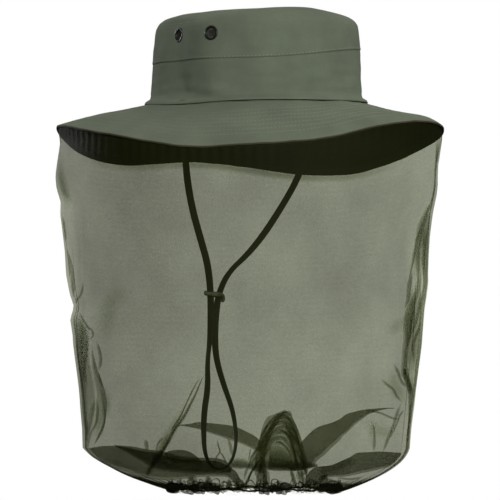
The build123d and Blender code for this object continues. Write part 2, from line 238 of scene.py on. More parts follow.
class Shader:
    """A small builder for one node material."""

    def __init__(self, name):
        self.material = bpy.data.materials.new(name)
        self.material.use_nodes = True
        self.tree = self.material.node_tree
        self.surface = self.tree.nodes["Principled BSDF"]
        self.output = self.tree.nodes["Material Output"]

    def node(self, kind, **settings):
        made = self.tree.nodes.new(kind)
        for key, value in settings.items():
            if key in made.inputs:
                made.inputs[key].default_value = value
            else:
                setattr(made, key, value)
        return made

    def link(self, source, target):
        self.tree.links.new(source, target)

    def math(self, operation, *values):
        made = self.node("ShaderNodeMath", operation=operation)
        for i, value in enumerate(values):
            if isinstance(value, (int, float)):
                made.inputs[i].default_value = value
            else:
                self.link(value, made.inputs[i])
        return made.outputs[0]

    def add(self, one, two):
        return self.math("ADD", one, two)

    def times(self, one, two):
        return self.math("MULTIPLY", one, two)

    def swing(self, source, middle, size):
        """A source moved to swing about zero, and scaled."""
        return self.times(self.math("SUBTRACT", source, middle), size)

    def split(self, kind):
        """The separate axes of a kind of coordinates. UV is in metres of cloth, across and down."""
        made = self.node("ShaderNodeSeparateXYZ")
        self.link(self.node("ShaderNodeTexCoord").outputs[kind], made.inputs[0])
        return made.outputs

    def noise(self, scale, detail=3.0, roughness=0.5):
        made = self.node("ShaderNodeTexNoise", Scale=scale, Detail=detail, Roughness=roughness)
        self.link(self.node("ShaderNodeTexCoord").outputs["Object"], made.inputs["Vector"])
        return made.outputs["Fac"]

    def ramp(self, source, stops):
        made = self.node("ShaderNodeValToRGB")
        elements = made.color_ramp.elements
        while len(elements) < len(stops):
            elements.new(0.5)
        for element, (position, colour) in zip(elements, stops):
            element.position = position
            element.color = (*colour, 1.0)
        self.link(source, made.inputs["Fac"])
        return made.outputs["Color"]

    def bump(self, height, strength, distance, under=None):
        made = self.node("ShaderNodeBump", Strength=strength, Distance=distance)
        self.link(height, made.inputs["Height"])
        if under is not None:
            self.link(under, made.inputs["Normal"])
        return made.outputs["Normal"]

    def sine(self, across, down, period, slope=0.0):
        """Wave from -1 to 1 over the cloth coordinates, sloped by a share of the way down."""
        return self.math("SINE", self.times(self.add(across, self.times(down, slope)), 2 * math.pi / period))

    def ribs(self, across, down, period, slope=0.0):
        """Rounded ribs from 0 to 1, two to a period."""
        return self.math("ABSOLUTE", self.sine(across, down, period, slope))

    def feed(self, source, name):
        self.link(source, self.surface.inputs[name])

    def paint(self, source, *stops):
        self.feed(self.ramp(source, stops), "Base Color")

    def set(self, **values):
        for key, value in values.items():
            self.surface.inputs[key.replace("_", " ")].default_value = value


def scaled(colour, factor):
    return tuple(min(1.0, c * factor) for c in colour)


def cloth_material(name, colour, yarn=0.5 * MM, twill=1.0, depth=0.12 * MM):
    """Woven cotton: twill lines, uneven yarn, faded patches and a soft sheen."""
    s = Shader(name)
    across, down, _ = s.split("UV")
    twill_lines = s.sine(across, down, 2 * yarn, twill)
    threads = s.times(s.sine(across, down, yarn), s.sine(down, across, yarn))
    weave = s.add(s.times(twill_lines, 0.6), s.times(threads, 0.4))
    slub = s.noise(900.0, 2.0)
    patches = s.noise(26.0, 4.0, 0.6)
    tone = s.add(s.add(s.times(patches, 0.75), s.times(slub, 0.25)), s.times(weave, 0.05))
    s.paint(tone, (0.3, scaled(colour, 0.84)), (0.5, colour), (0.7, scaled(colour, 1.16)))
    fibre = s.bump(slub, 0.25, 0.1 * MM)
    s.feed(s.bump(weave, 0.6, depth, fibre), "Normal")
    s.feed(s.add(s.times(slub, 0.1), 0.8), "Roughness")
    s.set(Specular_IOR_Level=0.25, Sheen_Weight=0.12, Sheen_Roughness=0.5)
    s.surface.inputs["Sheen Tint"].default_value = (*scaled(colour, 4.0), 1.0)
    return s.material


def net_material(name, thread_colour, tint, open_share):
    """Knitted net: dark threads round small holes, so that what is behind shows through."""
    s = Shader(name)
    across, down, _ = s.split("UV")
    stray = s.swing(s.noise(170.0, 2.0), 0.5, 5 * MM)
    across = s.add(across, stray)
    down = s.add(down, s.times(stray, 0.7))
    left = s.ribs(across, down, 2 * NET_CELL, NET_SLANT)
    right = s.ribs(across, down, 2 * NET_CELL, -NET_SLANT)
    hole = s.times(s.times(left, right), s.ribs(down, across, 2 * NET_CELL))
    cloud = s.noise(15.0, 3.0, 0.55)
    speckle = s.swing(s.noise(1500.0, 1.0), 0.5, 0.34)
    pattern = s.add(s.swing(hole, 0.27, 0.20), speckle)
    spread = s.node("ShaderNodeAttribute")
    spread.attribute_name = "spread"
    opened = s.add(spread.outputs["Fac"], open_share)
    limited = s.node("ShaderNodeClamp")
    s.link(s.add(s.add(pattern, s.swing(cloud, 0.5, 0.20)), opened), limited.inputs["Value"])
    share = limited.outputs[0]
    clear = s.node("ShaderNodeBsdfTransparent")
    s.link(s.ramp(share, [(0.70, tint), (0.98, (1.0, 1.0, 1.0))]), clear.inputs["Color"])
    mix = s.node("ShaderNodeMixShader")
    s.link(share, mix.inputs[0])
    s.link(s.surface.outputs[0], mix.inputs[1])
    s.link(clear.outputs[0], mix.inputs[2])
    s.link(mix.outputs[0], s.output.inputs["Surface"])
    s.paint(cloud, (0.3, scaled(thread_colour, 0.75)), (0.7, scaled(thread_colour, 1.25)))
    s.feed(s.bump(hole, 0.4, 0.2 * MM), "Normal")
    s.set(Roughness=0.7, Specular_IOR_Level=0.15)
    return s.material


def braid_material(name, colour):
    """Flat braid: crossed diagonal strands."""
    s = Shader(name)
    across, down, _ = s.split("UV")
    strands = s.math("MAXIMUM", s.ribs(across, down, 2 * BRAID_PITCH, 1.0),
                     s.ribs(across, down, 2 * BRAID_PITCH, -1.0))
    tone = s.add(s.times(strands, 0.6), s.times(s.noise(700.0, 2.0), 0.4))
    s.paint(tone, (0.35, scaled(colour, 0.5)), (0.85, scaled(colour, 1.5)))
    s.feed(s.bump(tone, 0.8, 0.3 * MM), "Normal")
    s.set(Roughness=0.75, Specular_IOR_Level=0.3, Sheen_Weight=0.1)
    return s.material


def enamel_material(name, colour, worn):
    """Glossy black enamel on metal, rubbed through on its high edges."""
    s = Shader(name)
    edge = s.node("ShaderNodeNewGeometry").outputs["Pointiness"]
    rubbed = s.add(s.times(s.noise(500.0, 4.0, 0.6), 0.18), edge)
    s.paint(rubbed, (0.60, colour), (0.68, worn))
    s.feed(s.add(s.times(s.noise(300.0), 0.25), 0.24), "Roughness")
    s.feed(s.bump(s.noise(260.0, 3.0), 0.2, 0.1 * MM), "Normal")
    s.set(Specular_IOR_Level=0.3, Coat_Weight=0.1, Coat_Roughness=0.3)
    return s.material


def leather_material(name, colour):
    """Waxed leather: pebbled grain and darker, smoother rubbed patches."""
    s = Shader(name)
    cells = s.node("ShaderNodeTexVoronoi", Scale=900.0)
    s.link(s.node("ShaderNodeTexCoord").outputs["Object"], cells.inputs["Vector"])
    patches = s.noise(150.0, 4.0)
    s.paint(patches, (0.35, scaled(colour, 0.7)), (0.65, scaled(colour, 1.25)))
    s.feed(s.bump(cells.outputs["Distance"], 0.5, 0.12 * MM), "Normal")
    s.feed(s.add(s.times(patches, 0.3), 0.35), "Roughness")
    return s.material


def elastic_material(name, colour):
    """Knitted elastic with ribs that run round it."""
    s = Shader(name)
    ribs = s.math("SINE", s.times(s.split("Object")[2], 2 * math.pi / ELASTIC_RIB))
    s.paint(s.noise(400.0), (0.3, scaled(colour, 0.7)), (0.7, scaled(colour, 1.3)))
    s.feed(s.bump(ribs, 0.6, 0.2 * MM), "Normal")
    s.set(Roughness=0.8)
    return s.material


NET_CELL = 0.95 * MM
NET_SLANT = 0.58
BRAID_PITCH = 1.6 * MM
ELASTIC_RIB = 1.1 * MM

HAT_CLOTH = cloth_material("hat_cloth", (0.150, 0.176, 0.122))
# The brim's under cloth is the hat's olive cloth painted near black: painted shade for the shadow under the
# brim.
UNDER_BRIM_PAINTED_SHADE = cloth_material("brim_lining", (0.014, 0.016, 0.011))
SWEAT_TAPE = cloth_material("sweatband_tape", (0.05, 0.058, 0.04), yarn=0.9 * MM, depth=0.3 * MM)
CANVAS = cloth_material("interlining_canvas", (0.34, 0.31, 0.24), yarn=0.8 * MM, twill=0.0)
TAPE_CLOTH = cloth_material("binding_tape", (0.040, 0.044, 0.028), yarn=0.7 * MM)
EDGE_CLOTH = cloth_material("brim_edge_cloth", (0.060, 0.056, 0.030))
THREAD = cloth_material("sewing_thread", (0.25, 0.28, 0.20), yarn=0.3 * MM)
NET = net_material("veil_net", (0.019, 0.023, 0.003), tint=(0.973, 1.0, 0.88), open_share=0.457)
HEM_NET = net_material("hem_net", (0.012, 0.014, 0.007), tint=(0.985, 1.0, 0.94), open_share=0.40)
BRAID = braid_material("strap_braid", (0.022, 0.027, 0.014))
LEATHER = leather_material("keeper_leather", (0.26, 0.29, 0.20))
ENAMEL = enamel_material("eyelet_enamel", (0.012, 0.014, 0.011), worn=(0.16, 0.16, 0.12))
WIRE = enamel_material("vent_wire", (0.020, 0.023, 0.018), worn=(0.09, 0.09, 0.07))
ELASTIC = elastic_material("hem_elastic_rib", (0.015, 0.015, 0.012))


# ---------------------------------------------------------------- chin strap

STRAP_WIDTH = 6.5 * MM
STRAP_HALF_THICK = 0.95 * MM
STRAP_STEP = 1.4 * MM
# Slow twist of the braid and its small wrinkles, and how far it leans above the keeper and low in its loop
STRAP_TURNS = 4.3
TWIST, WRINKLE = np.radians(13), np.radians(7)
UPPER_LEAN, LOOP_LEAN = np.radians(36), np.radians(20)
STRAP_PLANE = sum(c[1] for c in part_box("chin_strap")) / 2
STRAP_ROUTE = [
    (-88.5, -12.0), (-88.3, -34.0), (-87.0, -64.0), (-79.5, -96.0), (-68.0, -124.0),
    (-57.5, -148.0), (-53.5, -173.0), (-53.0, -199.0), (-54.5, -219.0), (-58.0, -239.0),
    (-57.0, -262.0), (-62.5, -285.0), (-63.0, -306.0), (-61.5, -322.5), (-54.0, -334.0),
    (-41.0, -338.0), (-28.0, -334.0), (-20.0, -322.5), (-18.0, -306.0), (-23.0, -283.0),
    (-35.5, -260.0), (-46.0, -236.0), (-48.0, -214.0), (-46.5, -194.0), (-41.5, -173.0),
    (-28.0, -155.0), (-4.0, -140.0), (19.0, -121.0), (43.0, -96.0), (67.0, -68.0),
    (82.0, -39.0), (88.5, -12.0),
]


def route_line(route):
    """Points along the smooth line that follows a route in the strap's plane."""
    curve = bpy.data.curves.new("strap_line", "CURVE")
    curve.dimensions = "3D"
    curve.resolution_u = 10
    spline = curve.splines.new("NURBS")
    spline.points.add(len(route) - 1)
    for point, (x, z) in zip(spline.points, route):
        point.co = (x * MM, STRAP_PLANE, z * MM, 1.0)
    spline.order_u = 3
    spline.use_endpoint_u = True
    holder = bpy.data.objects.new("strap_line", curve)
    bpy.context.scene.collection.objects.link(holder)
    bpy.context.view_layer.update()
    line = bpy.data.meshes.new_from_object(holder.evaluated_get(bpy.context.evaluated_depsgraph_get()))
    points = np.array([v.co for v in line.vertices])
    bpy.data.objects.remove(holder)
    return points


def resampled(points, step):
    """A line's points respaced at about a step apart, and how far along it each one is."""
    lengths = np.concatenate([[0], np.cumsum(np.linalg.norm(np.diff(points, axis=0), axis=1))])
    count = max(2, int(lengths[-1] / step))
    spots = np.linspace(0, lengths[-1], count)
    return np.stack([np.interp(spots, lengths, points[:, i]) for i in range(3)], axis=1), spots


def strap_turn(line, along):
    """How far the braid is turned about its line, apart from where it is held."""
    height = line[:, 2]
    keeper_middle = sum(c[2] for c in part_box("strap_keeper")) / 2
    free = 0.7 + 0.3 * soft_step(np.abs(height - keeper_middle), 0.004, 0.03)
    held_ends = soft_step(np.minimum(along, along[-1] - along), 0.01, 0.04)
    twist = TWIST * np.sin(along / along[-1] * 2 * math.pi * STRAP_TURNS + 0.6)
    twist = twist + WRINKLE * np.sin(along * 61)
    lean = LOOP_LEAN * soft_step(-height, 0.26, 0.31) - UPPER_LEAN * soft_step(height, -0.235, -0.19)
    return (twist + lean) * free * held_ends


def make_strap():
    """Flat braid that twists a little between the anchors and the keeper."""
    line, along = resampled(route_line(STRAP_ROUTE), STRAP_STEP)
    wide = np.array([0.0, 1.0, 0.0])
    thin = unit(np.cross(unit(np.gradient(line, axis=0)), wide))
    corners = turns(14)
    flat_x = squared(np.cos(corners), 0.7)[:, None] * STRAP_WIDTH / 2
    flat_y = squared(np.sin(corners), 0.8)[:, None] * STRAP_HALF_THICK
    rows = []
    for point, lift, turn in zip(line, thin, strap_turn(line, along) * thin[:, 0]):
        across = wide * math.cos(turn) + lift * math.sin(turn)
        up = lift * math.cos(turn) - wide * math.sin(turn)
        rows.append(point + flat_x * across + flat_y * up)
    uv = grid_uv(len(line), len(corners) + 1, 2 * STRAP_WIDTH, along[-1])
    strap = mesh_piece("chin_strap_braid", *capped(grid_mesh(np.array(rows), uv), len(corners)), BRAID)
    fit(strap, "strap", "chin_strap")


make_strap()

KEEPER_SECTION = 2.0 * MM
KEEPER_MARGIN = 2.15 * MM
KEEPER_SLOPE = 0.10
KEEPER_DROOP, DROOP_START = 55.0, 3 * MM


def make_keeper():
    """Oval keeper round both strands: a soft rounded ring that droops at one end."""
    low, high = (np.array(c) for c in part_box("strap_keeper"))
    around = turns(72)
    half_x, half_y = (high - low)[:2] / 2 - KEEPER_MARGIN
    centre = oval_ring(half_x, half_y * (1 - 0.10 * np.cos(2 * around)), around, 0.0)
    outward = unit(centre)
    droop = KEEPER_SLOPE * centre[:, 0] + KEEPER_DROOP * np.clip(centre[:, 0] - DROOP_START, 0, 1) ** 2
    centre[:, 2] -= droop + 0.4 * MM * np.sin(2 * around)
    thick = KEEPER_SECTION * (1.0 + 0.12 * np.sin(3 * around + 0.7))[:, None]
    rows = [(low + high) / 2 + centre + thick * (math.cos(corner) * outward + math.sin(corner) * UP)
            for corner in turns(16)]
    uv = grid_uv(17, 73, 0.06, 0.012)
    keeper = grid_piece("strap_keeper_ring", np.array(rows), uv, LEATHER, wrap_rows=True)
    fit(keeper, "keeper", "strap_keeper")


make_keeper()

# ------------------------------------------------------------------ hat shape

CROWN_HALF = np.array(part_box("crown_lower_band")[1])[:2]
CROWN_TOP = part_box("crown_tip")[1].z
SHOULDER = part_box("crown_tip")[0].z
CLOTH = 1.1 * MM
# Crown wall in mm: height, and the half-widths across x and y there
CROWN_WALL = [
    (0.0, 94.5, 110.5), (2.5, 93.2, 109.4), (5.0, 88.6, 105.2), (8.0, 87.4, 103.9),
    (50.0, 85.5, 102.5), (66.0, 84.3, 101.0), (72.0, 83.2, 99.8), (76.0, 81.4, 98.0),
]
# Tip: share of the shoulder's half-widths, and mm below the top
TIP_CURVE = [(1.004, 13.0), (0.987, 10.6), (0.955, 8.2), (0.91, 6.1), (0.84, 4.3), (0.75, 2.8),
             (0.62, 1.5), (0.45, 0.7), (0.25, 0.2), (0.0, 0.0)]
BAND_SEAM = 43.0 * MM
BAND_SEAM_RISE = 0.06
BAND_SEAM_DIP = 4.4 * MM
CROWN_LEAN = 0.028
SHOULDER_SLUMP = 3.4 * MM
# The upright fold hollow and the ridge beside it: size, then turn and spread in degrees
TROUGH_DEPTH, TROUGH_TURN, TROUGH_SPREAD = 6.2 * MM, -60.0, 15.0
RIDGE_HEIGHT, RIDGE_TURN, RIDGE_SPREAD = 2.2 * MM, -28.0, 13.0
TROUGH_LEAN = 160.0
HEAD_SEAM_SAG = 3.0 * MM
DENTS = [(24.0, 3.1, 2.1 * MM, 0.55), (55.0, 8.7, 0.9 * MM, 0.55), (130.0, 1.3, 0.22 * MM, 1.0)]
LOW_CREASE = 1.1 * MM
TIP_SAG = [(22.0, 5.5, 1.1 * MM, 1.0), (60.0, 2.2, 0.35 * MM, 1.0)]
HOLE_RADIUS = 5.7 * MM
CROWN_COLUMNS = 480


def to_right(points):
    return np.asarray(points) @ TO_RIGHT


def from_front(angle):
    """Turn angle measured from the camera's side, from -pi to pi, plus to the camera's right."""
    front = math.atan2(TO_CAMERA[1], TO_CAMERA[0])
    return (np.asarray(angle) - front + math.pi) % (2 * math.pi) - math.pi


def bell(angle, middle, spread):
    """Smooth hump round the hat, at a turn from the front and with a spread, both in degrees."""
    return np.exp(-((np.degrees(from_front(angle)) - middle) / spread) ** 2)


def head_seam_sag(angle):
    """How far the seam between crown and brim hangs below its plane."""
    return -HEAD_SEAM_SAG * bell(angle, -48, 26)


def crown_point(angle, height, inset=0.0):
    """Point on the crown wall at a turn angle and height, moved in by inset."""
    heights, wide, deep = (np.array(column) * MM for column in zip(*CROWN_WALL))
    half_x = np.interp(height, heights, wide) - inset
    half_y = np.interp(height, heights, deep) - inset
    z = height + head_seam_sag(angle) * (1 - soft_step(height, 0.0, 0.03))
    return oval_ring(half_x, half_y, angle, z)


EYELETS = ["left_front", "left_rear", "right_front", "right_rear"]
EYELET_CENTRES = {name: sum(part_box("eyelet_" + name), Vector()) / 2 for name in EYELETS}


def trough(points):
    """Depth of the upright hollow where the hat has been folded, less the ridge beside it."""
    turn = np.arctan2(points[..., 1], points[..., 0])
    shift = (BAND_SEAM - points[..., 2]) * TROUGH_LEAN
    depth = TROUGH_DEPTH * bell(turn, TROUGH_TURN + shift, TROUGH_SPREAD)
    depth -= RIDGE_HEIGHT * bell(turn, RIDGE_TURN + shift, RIDGE_SPREAD)
    return depth * soft_step(points[..., 2], -0.002, 0.010) * (1 - soft_step(points[..., 2], 0.072, 0.088))


def seated(points, name):
    """Points of an eyelet part, moved and turned with the cloth that it is set in."""
    centre = np.array(EYELET_CENTRES[name])
    angle, radius = math.atan2(centre[1], centre[0]), math.hypot(centre[0], centre[1])
    before, after = oval_ring(radius, radius, angle + np.array([-0.02, 0.02]), centre[2])
    turn = math.atan(float(trough(after) - trough(before)) / (0.04 * radius))
    away = np.asarray(points, float) - centre
    turned = np.stack([away[..., 0] * math.cos(turn) - away[..., 1] * math.sin(turn),
                       away[..., 0] * math.sin(turn) + away[..., 1] * math.cos(turn), away[..., 2]], axis=-1)
    return centre + turned - float(trough(centre)) * np.array([math.cos(angle), math.sin(angle), 0.0])


def rumple(points):
    """Soft dents and creases of worn cloth, along the outward direction."""
    outward = points * np.array([1.0, 1.0, 0.0])
    outward /= np.maximum(np.linalg.norm(outward, axis=-1, keepdims=True), 1e-9)
    right, height = to_right(points), points[..., 2]
    low_creases = noise_at(points * np.array([0.45, 0.45, 1.9]), 62.0, 4.9) * LOW_CREASE
    dents = noise_layers(points, DENTS) + low_creases * (1 - soft_step(height, 0.018, 0.038))
    calm = soft_step(height, 0.0, 0.012)
    for centre in EYELET_CENTRES.values():
        calm = calm * soft_step(np.linalg.norm(points - np.array(centre), axis=-1), 0.008, 0.022)
    moved = points + outward * (dents * calm - trough(points))[..., None]
    moved[..., 2] += CROWN_LEAN * right * soft_step(height, 0.035, 0.08)
    moved[..., 2] -= SHOULDER_SLUMP * soft_step(right, 0.045, 0.085) * soft_step(height, 0.055, 0.082)
    return moved


def band_seam_height(angle):
    level = crown_point(angle, np.full_like(angle, BAND_SEAM))
    return BAND_SEAM + BAND_SEAM_RISE * to_right(level) - BAND_SEAM_DIP * bell(angle, 8, 42)


def band_piece(name, node, low, high, outset_low, outset_high, steps):
    """Closed cloth band between two heights given per turn angle, with rounded edges."""
    angle = turns(CROWN_COLUMNS)
    shares = np.linspace(0, 1, steps)
    outsets = outset_low * (1 - soft_step(shares, 0, 0.12)) + outset_high * soft_step(shares, 0.88, 1)
    loop = list(zip(shares, outsets)) + [(share, -CLOTH) for share in np.linspace(1, 0, steps)]
    rows = [crown_point(angle, low + (high - low) * share, -outset) for share, outset in loop]
    grid = np.array([rumple(row) for row in rows])
    girth = 2 * math.pi * CROWN_HALF.mean()
    uv = grid_uv(len(loop) + 1, CROWN_COLUMNS + 1, girth, 2 * float(np.mean(high - low)))
    return fit(grid_piece(name, grid, uv, HAT_CLOTH, wrap_rows=True), "hat", node)


def punch_holes(piece):
    """Cut the cloth away where the eyelets pass through it."""
    middles = np.array([p.center for p in piece.data.polygons])
    near = np.zeros(len(middles), bool)
    for name, centre in EYELET_CENTRES.items():
        near |= np.linalg.norm(middles - seated(centre, name), axis=1) < HOLE_RADIUS
    work = bmesh.new()
    work.from_mesh(piece.data)
    work.faces.ensure_lookup_table()
    bmesh.ops.delete(work, geom=[work.faces[i] for i in np.where(near)[0]], context="FACES")
    work.to_mesh(piece.data)
    work.free()


def make_crown():
    """Two bands and the tip, with holes for the eyelets."""
    angle = turns(CROWN_COLUMNS)
    seam = band_seam_height(angle)
    band_piece("crown_lower_band_cloth", "crown_lower_band", np.full_like(angle, 0.3 * MM), seam + 1.5 * MM,
               0.0, -0.5 * MM, steps=44)
    top = np.full_like(angle, SHOULDER - 0.6 * MM)
    upper = band_piece("crown_upper_band_cloth", "crown_upper_band", seam, top,
                       0.25 * MM, -0.3 * MM, steps=30)
    punch_holes(upper)
    make_tip(angle)


def make_tip(angle):
    """Oval top of the crown, with the seam roll at its shoulder."""
    curve = smooth_path(TIP_CURVE, 46)
    wall = crown_point(angle, np.full_like(angle, SHOULDER))
    outer, inner = [], []
    for share, drop in curve:
        ring = wall * max(share, 0.002)
        ring[:, 2] = CROWN_TOP - drop * MM
        outer.append(ring)
        lower = ring * np.array([1 - 0.013, 1 - 0.011, 1.0])
        lower[:, 2] -= CLOTH
        inner.append(lower)
    grid = np.array(outer + inner[::-1])
    sag = noise_layers(grid, TIP_SAG)
    flat = soft_step(grid[..., 2], CROWN_TOP - 5 * MM, CROWN_TOP - 1.5 * MM)
    grid = rumple(grid)
    grid[..., 2] += sag * flat
    uv = np.concatenate([grid[..., :2], grid[:, :1, :2]], axis=1)
    uv = np.concatenate([uv, uv[:1]], axis=0)
    tip = grid_piece("crown_tip_cloth", grid, uv, HAT_CLOTH, wrap_rows=True)
    fit(tip, "hat", "crown_tip")


make_crown()

# ----------------------------------------------------------------------- brim

RIM_WAVES = 8
BRIM_INNER = CROWN_HALF - 2.0 * MM
BRIM_COLUMNS = 540
BRIM_LAYER = 0.9 * MM
BRIM_BULGE = 1.5 * MM
BRIM_CURL = 1.6 * MM
# How far the worn brim edge stands above its plain line: turn from the front in degrees, and mm
RIM_LIFT = [(-180, 0.0), (-48, 0.0), (-38, -0.5), (-29, -3.2), (-20, -3.4), (-12, -0.6), (0, 3.6),
            (15, 3.5), (28, 3.7), (41, 3.2), (52, 0.6), (64, -1.2), (80, -1.0), (100, 0.0), (180, 0.0)]
RIM_PULL = 2.3 * MM
# Distance of each row of stitches from the brim edge
STITCH_ROWS = [(17.0 + 8.0 * k) * MM for k in range(7)]
ROW_WIDTH = 0.9 * MM
ROW_DEPTH = 0.28 * MM
ROW_PUCKER = 0.25 * MM
BRIM_WAVES = [(20.0, 9.1, 1.2 * MM, 1.0), (48.0, 6.3, 0.45 * MM, 1.0)]


def rim_lift(angle):
    """RIM_LIFT at turn angles, rounded off at its points."""
    turn = np.degrees(from_front(angle))
    turns_at, lifts = zip(*RIM_LIFT)
    near = [np.interp(turn + step, turns_at, lifts) for step in (-6, -3, 0, 3, 6)]
    return sum(near) / len(near) * MM


def node_points(node):
    return np.array([v.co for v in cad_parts[node].data.vertices])


def rim_fit(node):
    """Smooth radius and height of a node's outer rim by polar angle, from its mesh."""
    points = node_points(node)
    angle = np.arctan2(points[:, 1], points[:, 0])
    radius = np.hypot(points[:, 0], points[:, 1])
    kept = []
    for low in np.linspace(-math.pi, math.pi, 120, endpoint=False):
        near = np.where((angle >= low) & (angle < low + math.pi / 60))[0]
        if len(near):
            edge = near[radius[near] > radius[near].max() - 0.3 * MM]
            kept.append(edge[np.argmax(points[edge, 2])])
    kept = np.array(kept)

    def terms(a):
        a = np.asarray(a, float)
        waves = [f(n * a) for n in range(1, RIM_WAVES + 1) for f in (np.cos, np.sin)]
        return np.stack([np.ones_like(a), *waves], axis=-1)

    shares = [np.linalg.lstsq(terms(angle[kept]), values[kept], rcond=None)[0]
              for values in (radius, points[:, 2])]
    return lambda a: (terms(a) @ shares[0] - RIM_PULL * bell(a, -90, 32), terms(a) @ shares[1] + rim_lift(a))


brim_rim = rim_fit("brim_top_layer")


def brim_span(angle):
    """The brim at turn angles: its inner radius, outer radius, outer height and width on the slope."""
    rim_radius, rim_height = brim_rim(angle)
    half_x, half_y = BRIM_INNER
    start = half_x * half_y / np.hypot(half_y * np.cos(angle), half_x * np.sin(angle))
    return start, rim_radius, rim_height, np.hypot(rim_radius - start, rim_height)


def brim_point(angle, inset):
    """Point on the brim's top surface, a distance in from the edge, at a turn angle."""
    start, rim_radius, rim_height, width = brim_span(angle)
    share = 1 - inset / width
    radius = start + (rim_radius - start) * share
    curled = bell(angle, 90, 42)
    hump = np.sin(math.pi * np.clip(share, 0, 1) ** (1.7 + 2.3 * curled))
    bulge = (BRIM_BULGE + BRIM_CURL * curled) * hump
    height = rim_height * share + bulge + head_seam_sag(angle) * (1 - share)
    return oval_ring(radius, radius, angle, height)


def brim_relief(points, inset):
    """Quilted grooves at the stitch rows and slow waves of stiffened cloth."""
    grooves = sum(np.exp(-((inset - row) / ROW_WIDTH) ** 2) for row in STITCH_ROWS)
    puckers = noise_at(points, 210.0, 4.4) * ROW_PUCKER * np.clip(grooves + 0.3, 0, 1)
    return noise_layers(points, BRIM_WAVES) + puckers - grooves * ROW_DEPTH


def brim_layer(name, node, drop, edge_inset, material):
    """One cloth layer of the brim: upper face, rounded edge, lower face."""
    angle = turns(BRIM_COLUMNS)
    width = brim_span(angle)[3]
    shares = np.concatenate([np.linspace(0, 0.965, 92), np.linspace(0.972, 1, 7)])
    grid = []
    for share, lift in [(s, 0.0) for s in shares] + [(s, -BRIM_LAYER) for s in shares[::-1]]:
        inset = (width - edge_inset) * (1 - share) + edge_inset
        points = brim_point(angle, inset)
        closed = 1 - 0.7 * soft_step(share, 0.955, 1.0)
        points[:, 2] += lift - drop * closed + brim_relief(points, inset)
        grid.append(points)
    uv = grid_uv(len(grid) + 1, BRIM_COLUMNS + 1, 1.05, 2 * float(width.mean()))
    fit(grid_piece(name, np.array(grid), uv, material, wrap_rows=True), "hat", node)


def make_brim():
    brim_layer("brim_top_cloth", "brim_top_layer", 0.0, 0.0, HAT_CLOTH)
    brim_layer("brim_interlining_canvas", "brim_interlining", 1.3 * MM, 5.0 * MM, CANVAS)
    # The under layer takes the near-black cloth, painted shade for the shadow under the brim.
    brim_layer("brim_under_cloth", "brim_under_layer", 2.6 * MM, 0.0, UNDER_BRIM_PAINTED_SHADE)


make_brim()


def ring_tube(name, centres, ups, half_out, half_up, material, node=None, sides=8, body="hat"):
    """Closed soft cord or tape round the hat: an oval section swept along a closed line."""
    ahead = unit(np.roll(centres, -1, axis=0) - np.roll(centres, 1, axis=0))
    out = unit(np.cross(ahead, ups))
    corner = turns(sides)
    across = (squared(np.cos(corner), 0.6) * half_out)[:, None, None]
    up = (squared(np.sin(corner), 0.6) * half_up)[:, None, None]
    grid = centres[None] + across * out[None] + up * ups[None]
    length = float(np.linalg.norm(np.diff(centres, axis=0), axis=1).sum())
    uv = grid_uv(sides + 1, len(centres) + 1, length, 4 * (half_out + half_up))
    fit(grid_piece(name, grid, uv, material, wrap_rows=True), body, node)


def brim_line(angle, inset):
    """Line round the brim's top surface, a distance in from its edge, with its relief."""
    inset = np.full_like(angle, inset)
    line = brim_point(angle, inset)
    line[:, 2] += brim_relief(line, inset)
    return line


TAPE_INSET, TAPE_DROP = 5.5 * MM, 4.0 * MM
TAPE_HALF_WIDTH, TAPE_HALF_THICK = 4.0 * MM, 0.4 * MM
EDGE_INSET, EDGE_DROP = 0.2 * MM, 1.25 * MM
EDGE_HALF_WIDTH, EDGE_HALF_HEIGHT = 0.45 * MM, 0.9 * MM


def make_brim_trim():
    """The turned cloth that closes the brim's edge, and the tape that holds the net under it."""
    angle = turns(BRIM_COLUMNS)
    ups = np.tile(UP, (len(angle), 1))
    edge = brim_line(angle, EDGE_INSET) - EDGE_DROP * UP
    ring_tube("brim_edge_seam", edge, ups, EDGE_HALF_WIDTH, EDGE_HALF_HEIGHT, EDGE_CLOTH)
    tape = brim_line(angle, TAPE_INSET) - TAPE_DROP * UP
    slope = unit(brim_point(angle, TAPE_INSET - 4 * MM) - brim_point(angle, TAPE_INSET + 4 * MM))
    around = oval_ring(1.0, 1.0, angle + math.pi / 2, 0.0)
    normals = np.cross(slope, around)
    normals *= np.sign(normals[:, 2])[:, None]
    ring_tube("net_heading_tape_strip", tape, normals, TAPE_HALF_WIDTH, TAPE_HALF_THICK, TAPE_CLOTH,
              "net_heading_tape")


make_brim_trim()


SWEATBAND_INSET = 10.4 * MM
SWEATBAND_THICK = 1.2 * MM


def make_sweatband():
    """Soft tape inside the head opening."""
    angle = turns(CROWN_COLUMNS)
    low, high = (corner.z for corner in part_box("sweatband"))
    shares = np.linspace(0, 1, 16)
    rows = []
    for share, depth in [(s, 0.0) for s in shares] + [(s, SWEATBAND_THICK) for s in shares[::-1]]:
        half_x, half_y = CROWN_HALF - SWEATBAND_INSET - depth
        ring = oval_ring(half_x, half_y, angle, low + (high - low) * share)
        ripple = noise_at(ring * np.array([1, 1, 0.4]), 45.0, 7.0) * 0.6 * MM
        rows.append(ring + outward_at(ring) * (ripple - 0.5 * MM - trough(ring))[:, None])
    uv = grid_uv(len(rows) + 1, len(angle) + 1, 0.57, 2 * (high - low))
    band = grid_piece("sweatband_tape", np.array(rows), uv, SWEAT_TAPE, wrap_rows=True)
    fit(band, "hat", "sweatband")


make_sweatband()

# ------------------------------------------------------------------------ net

NET_COLUMNS = 860
BODY_ROWS = 66
FLOOR_ROWS = 20
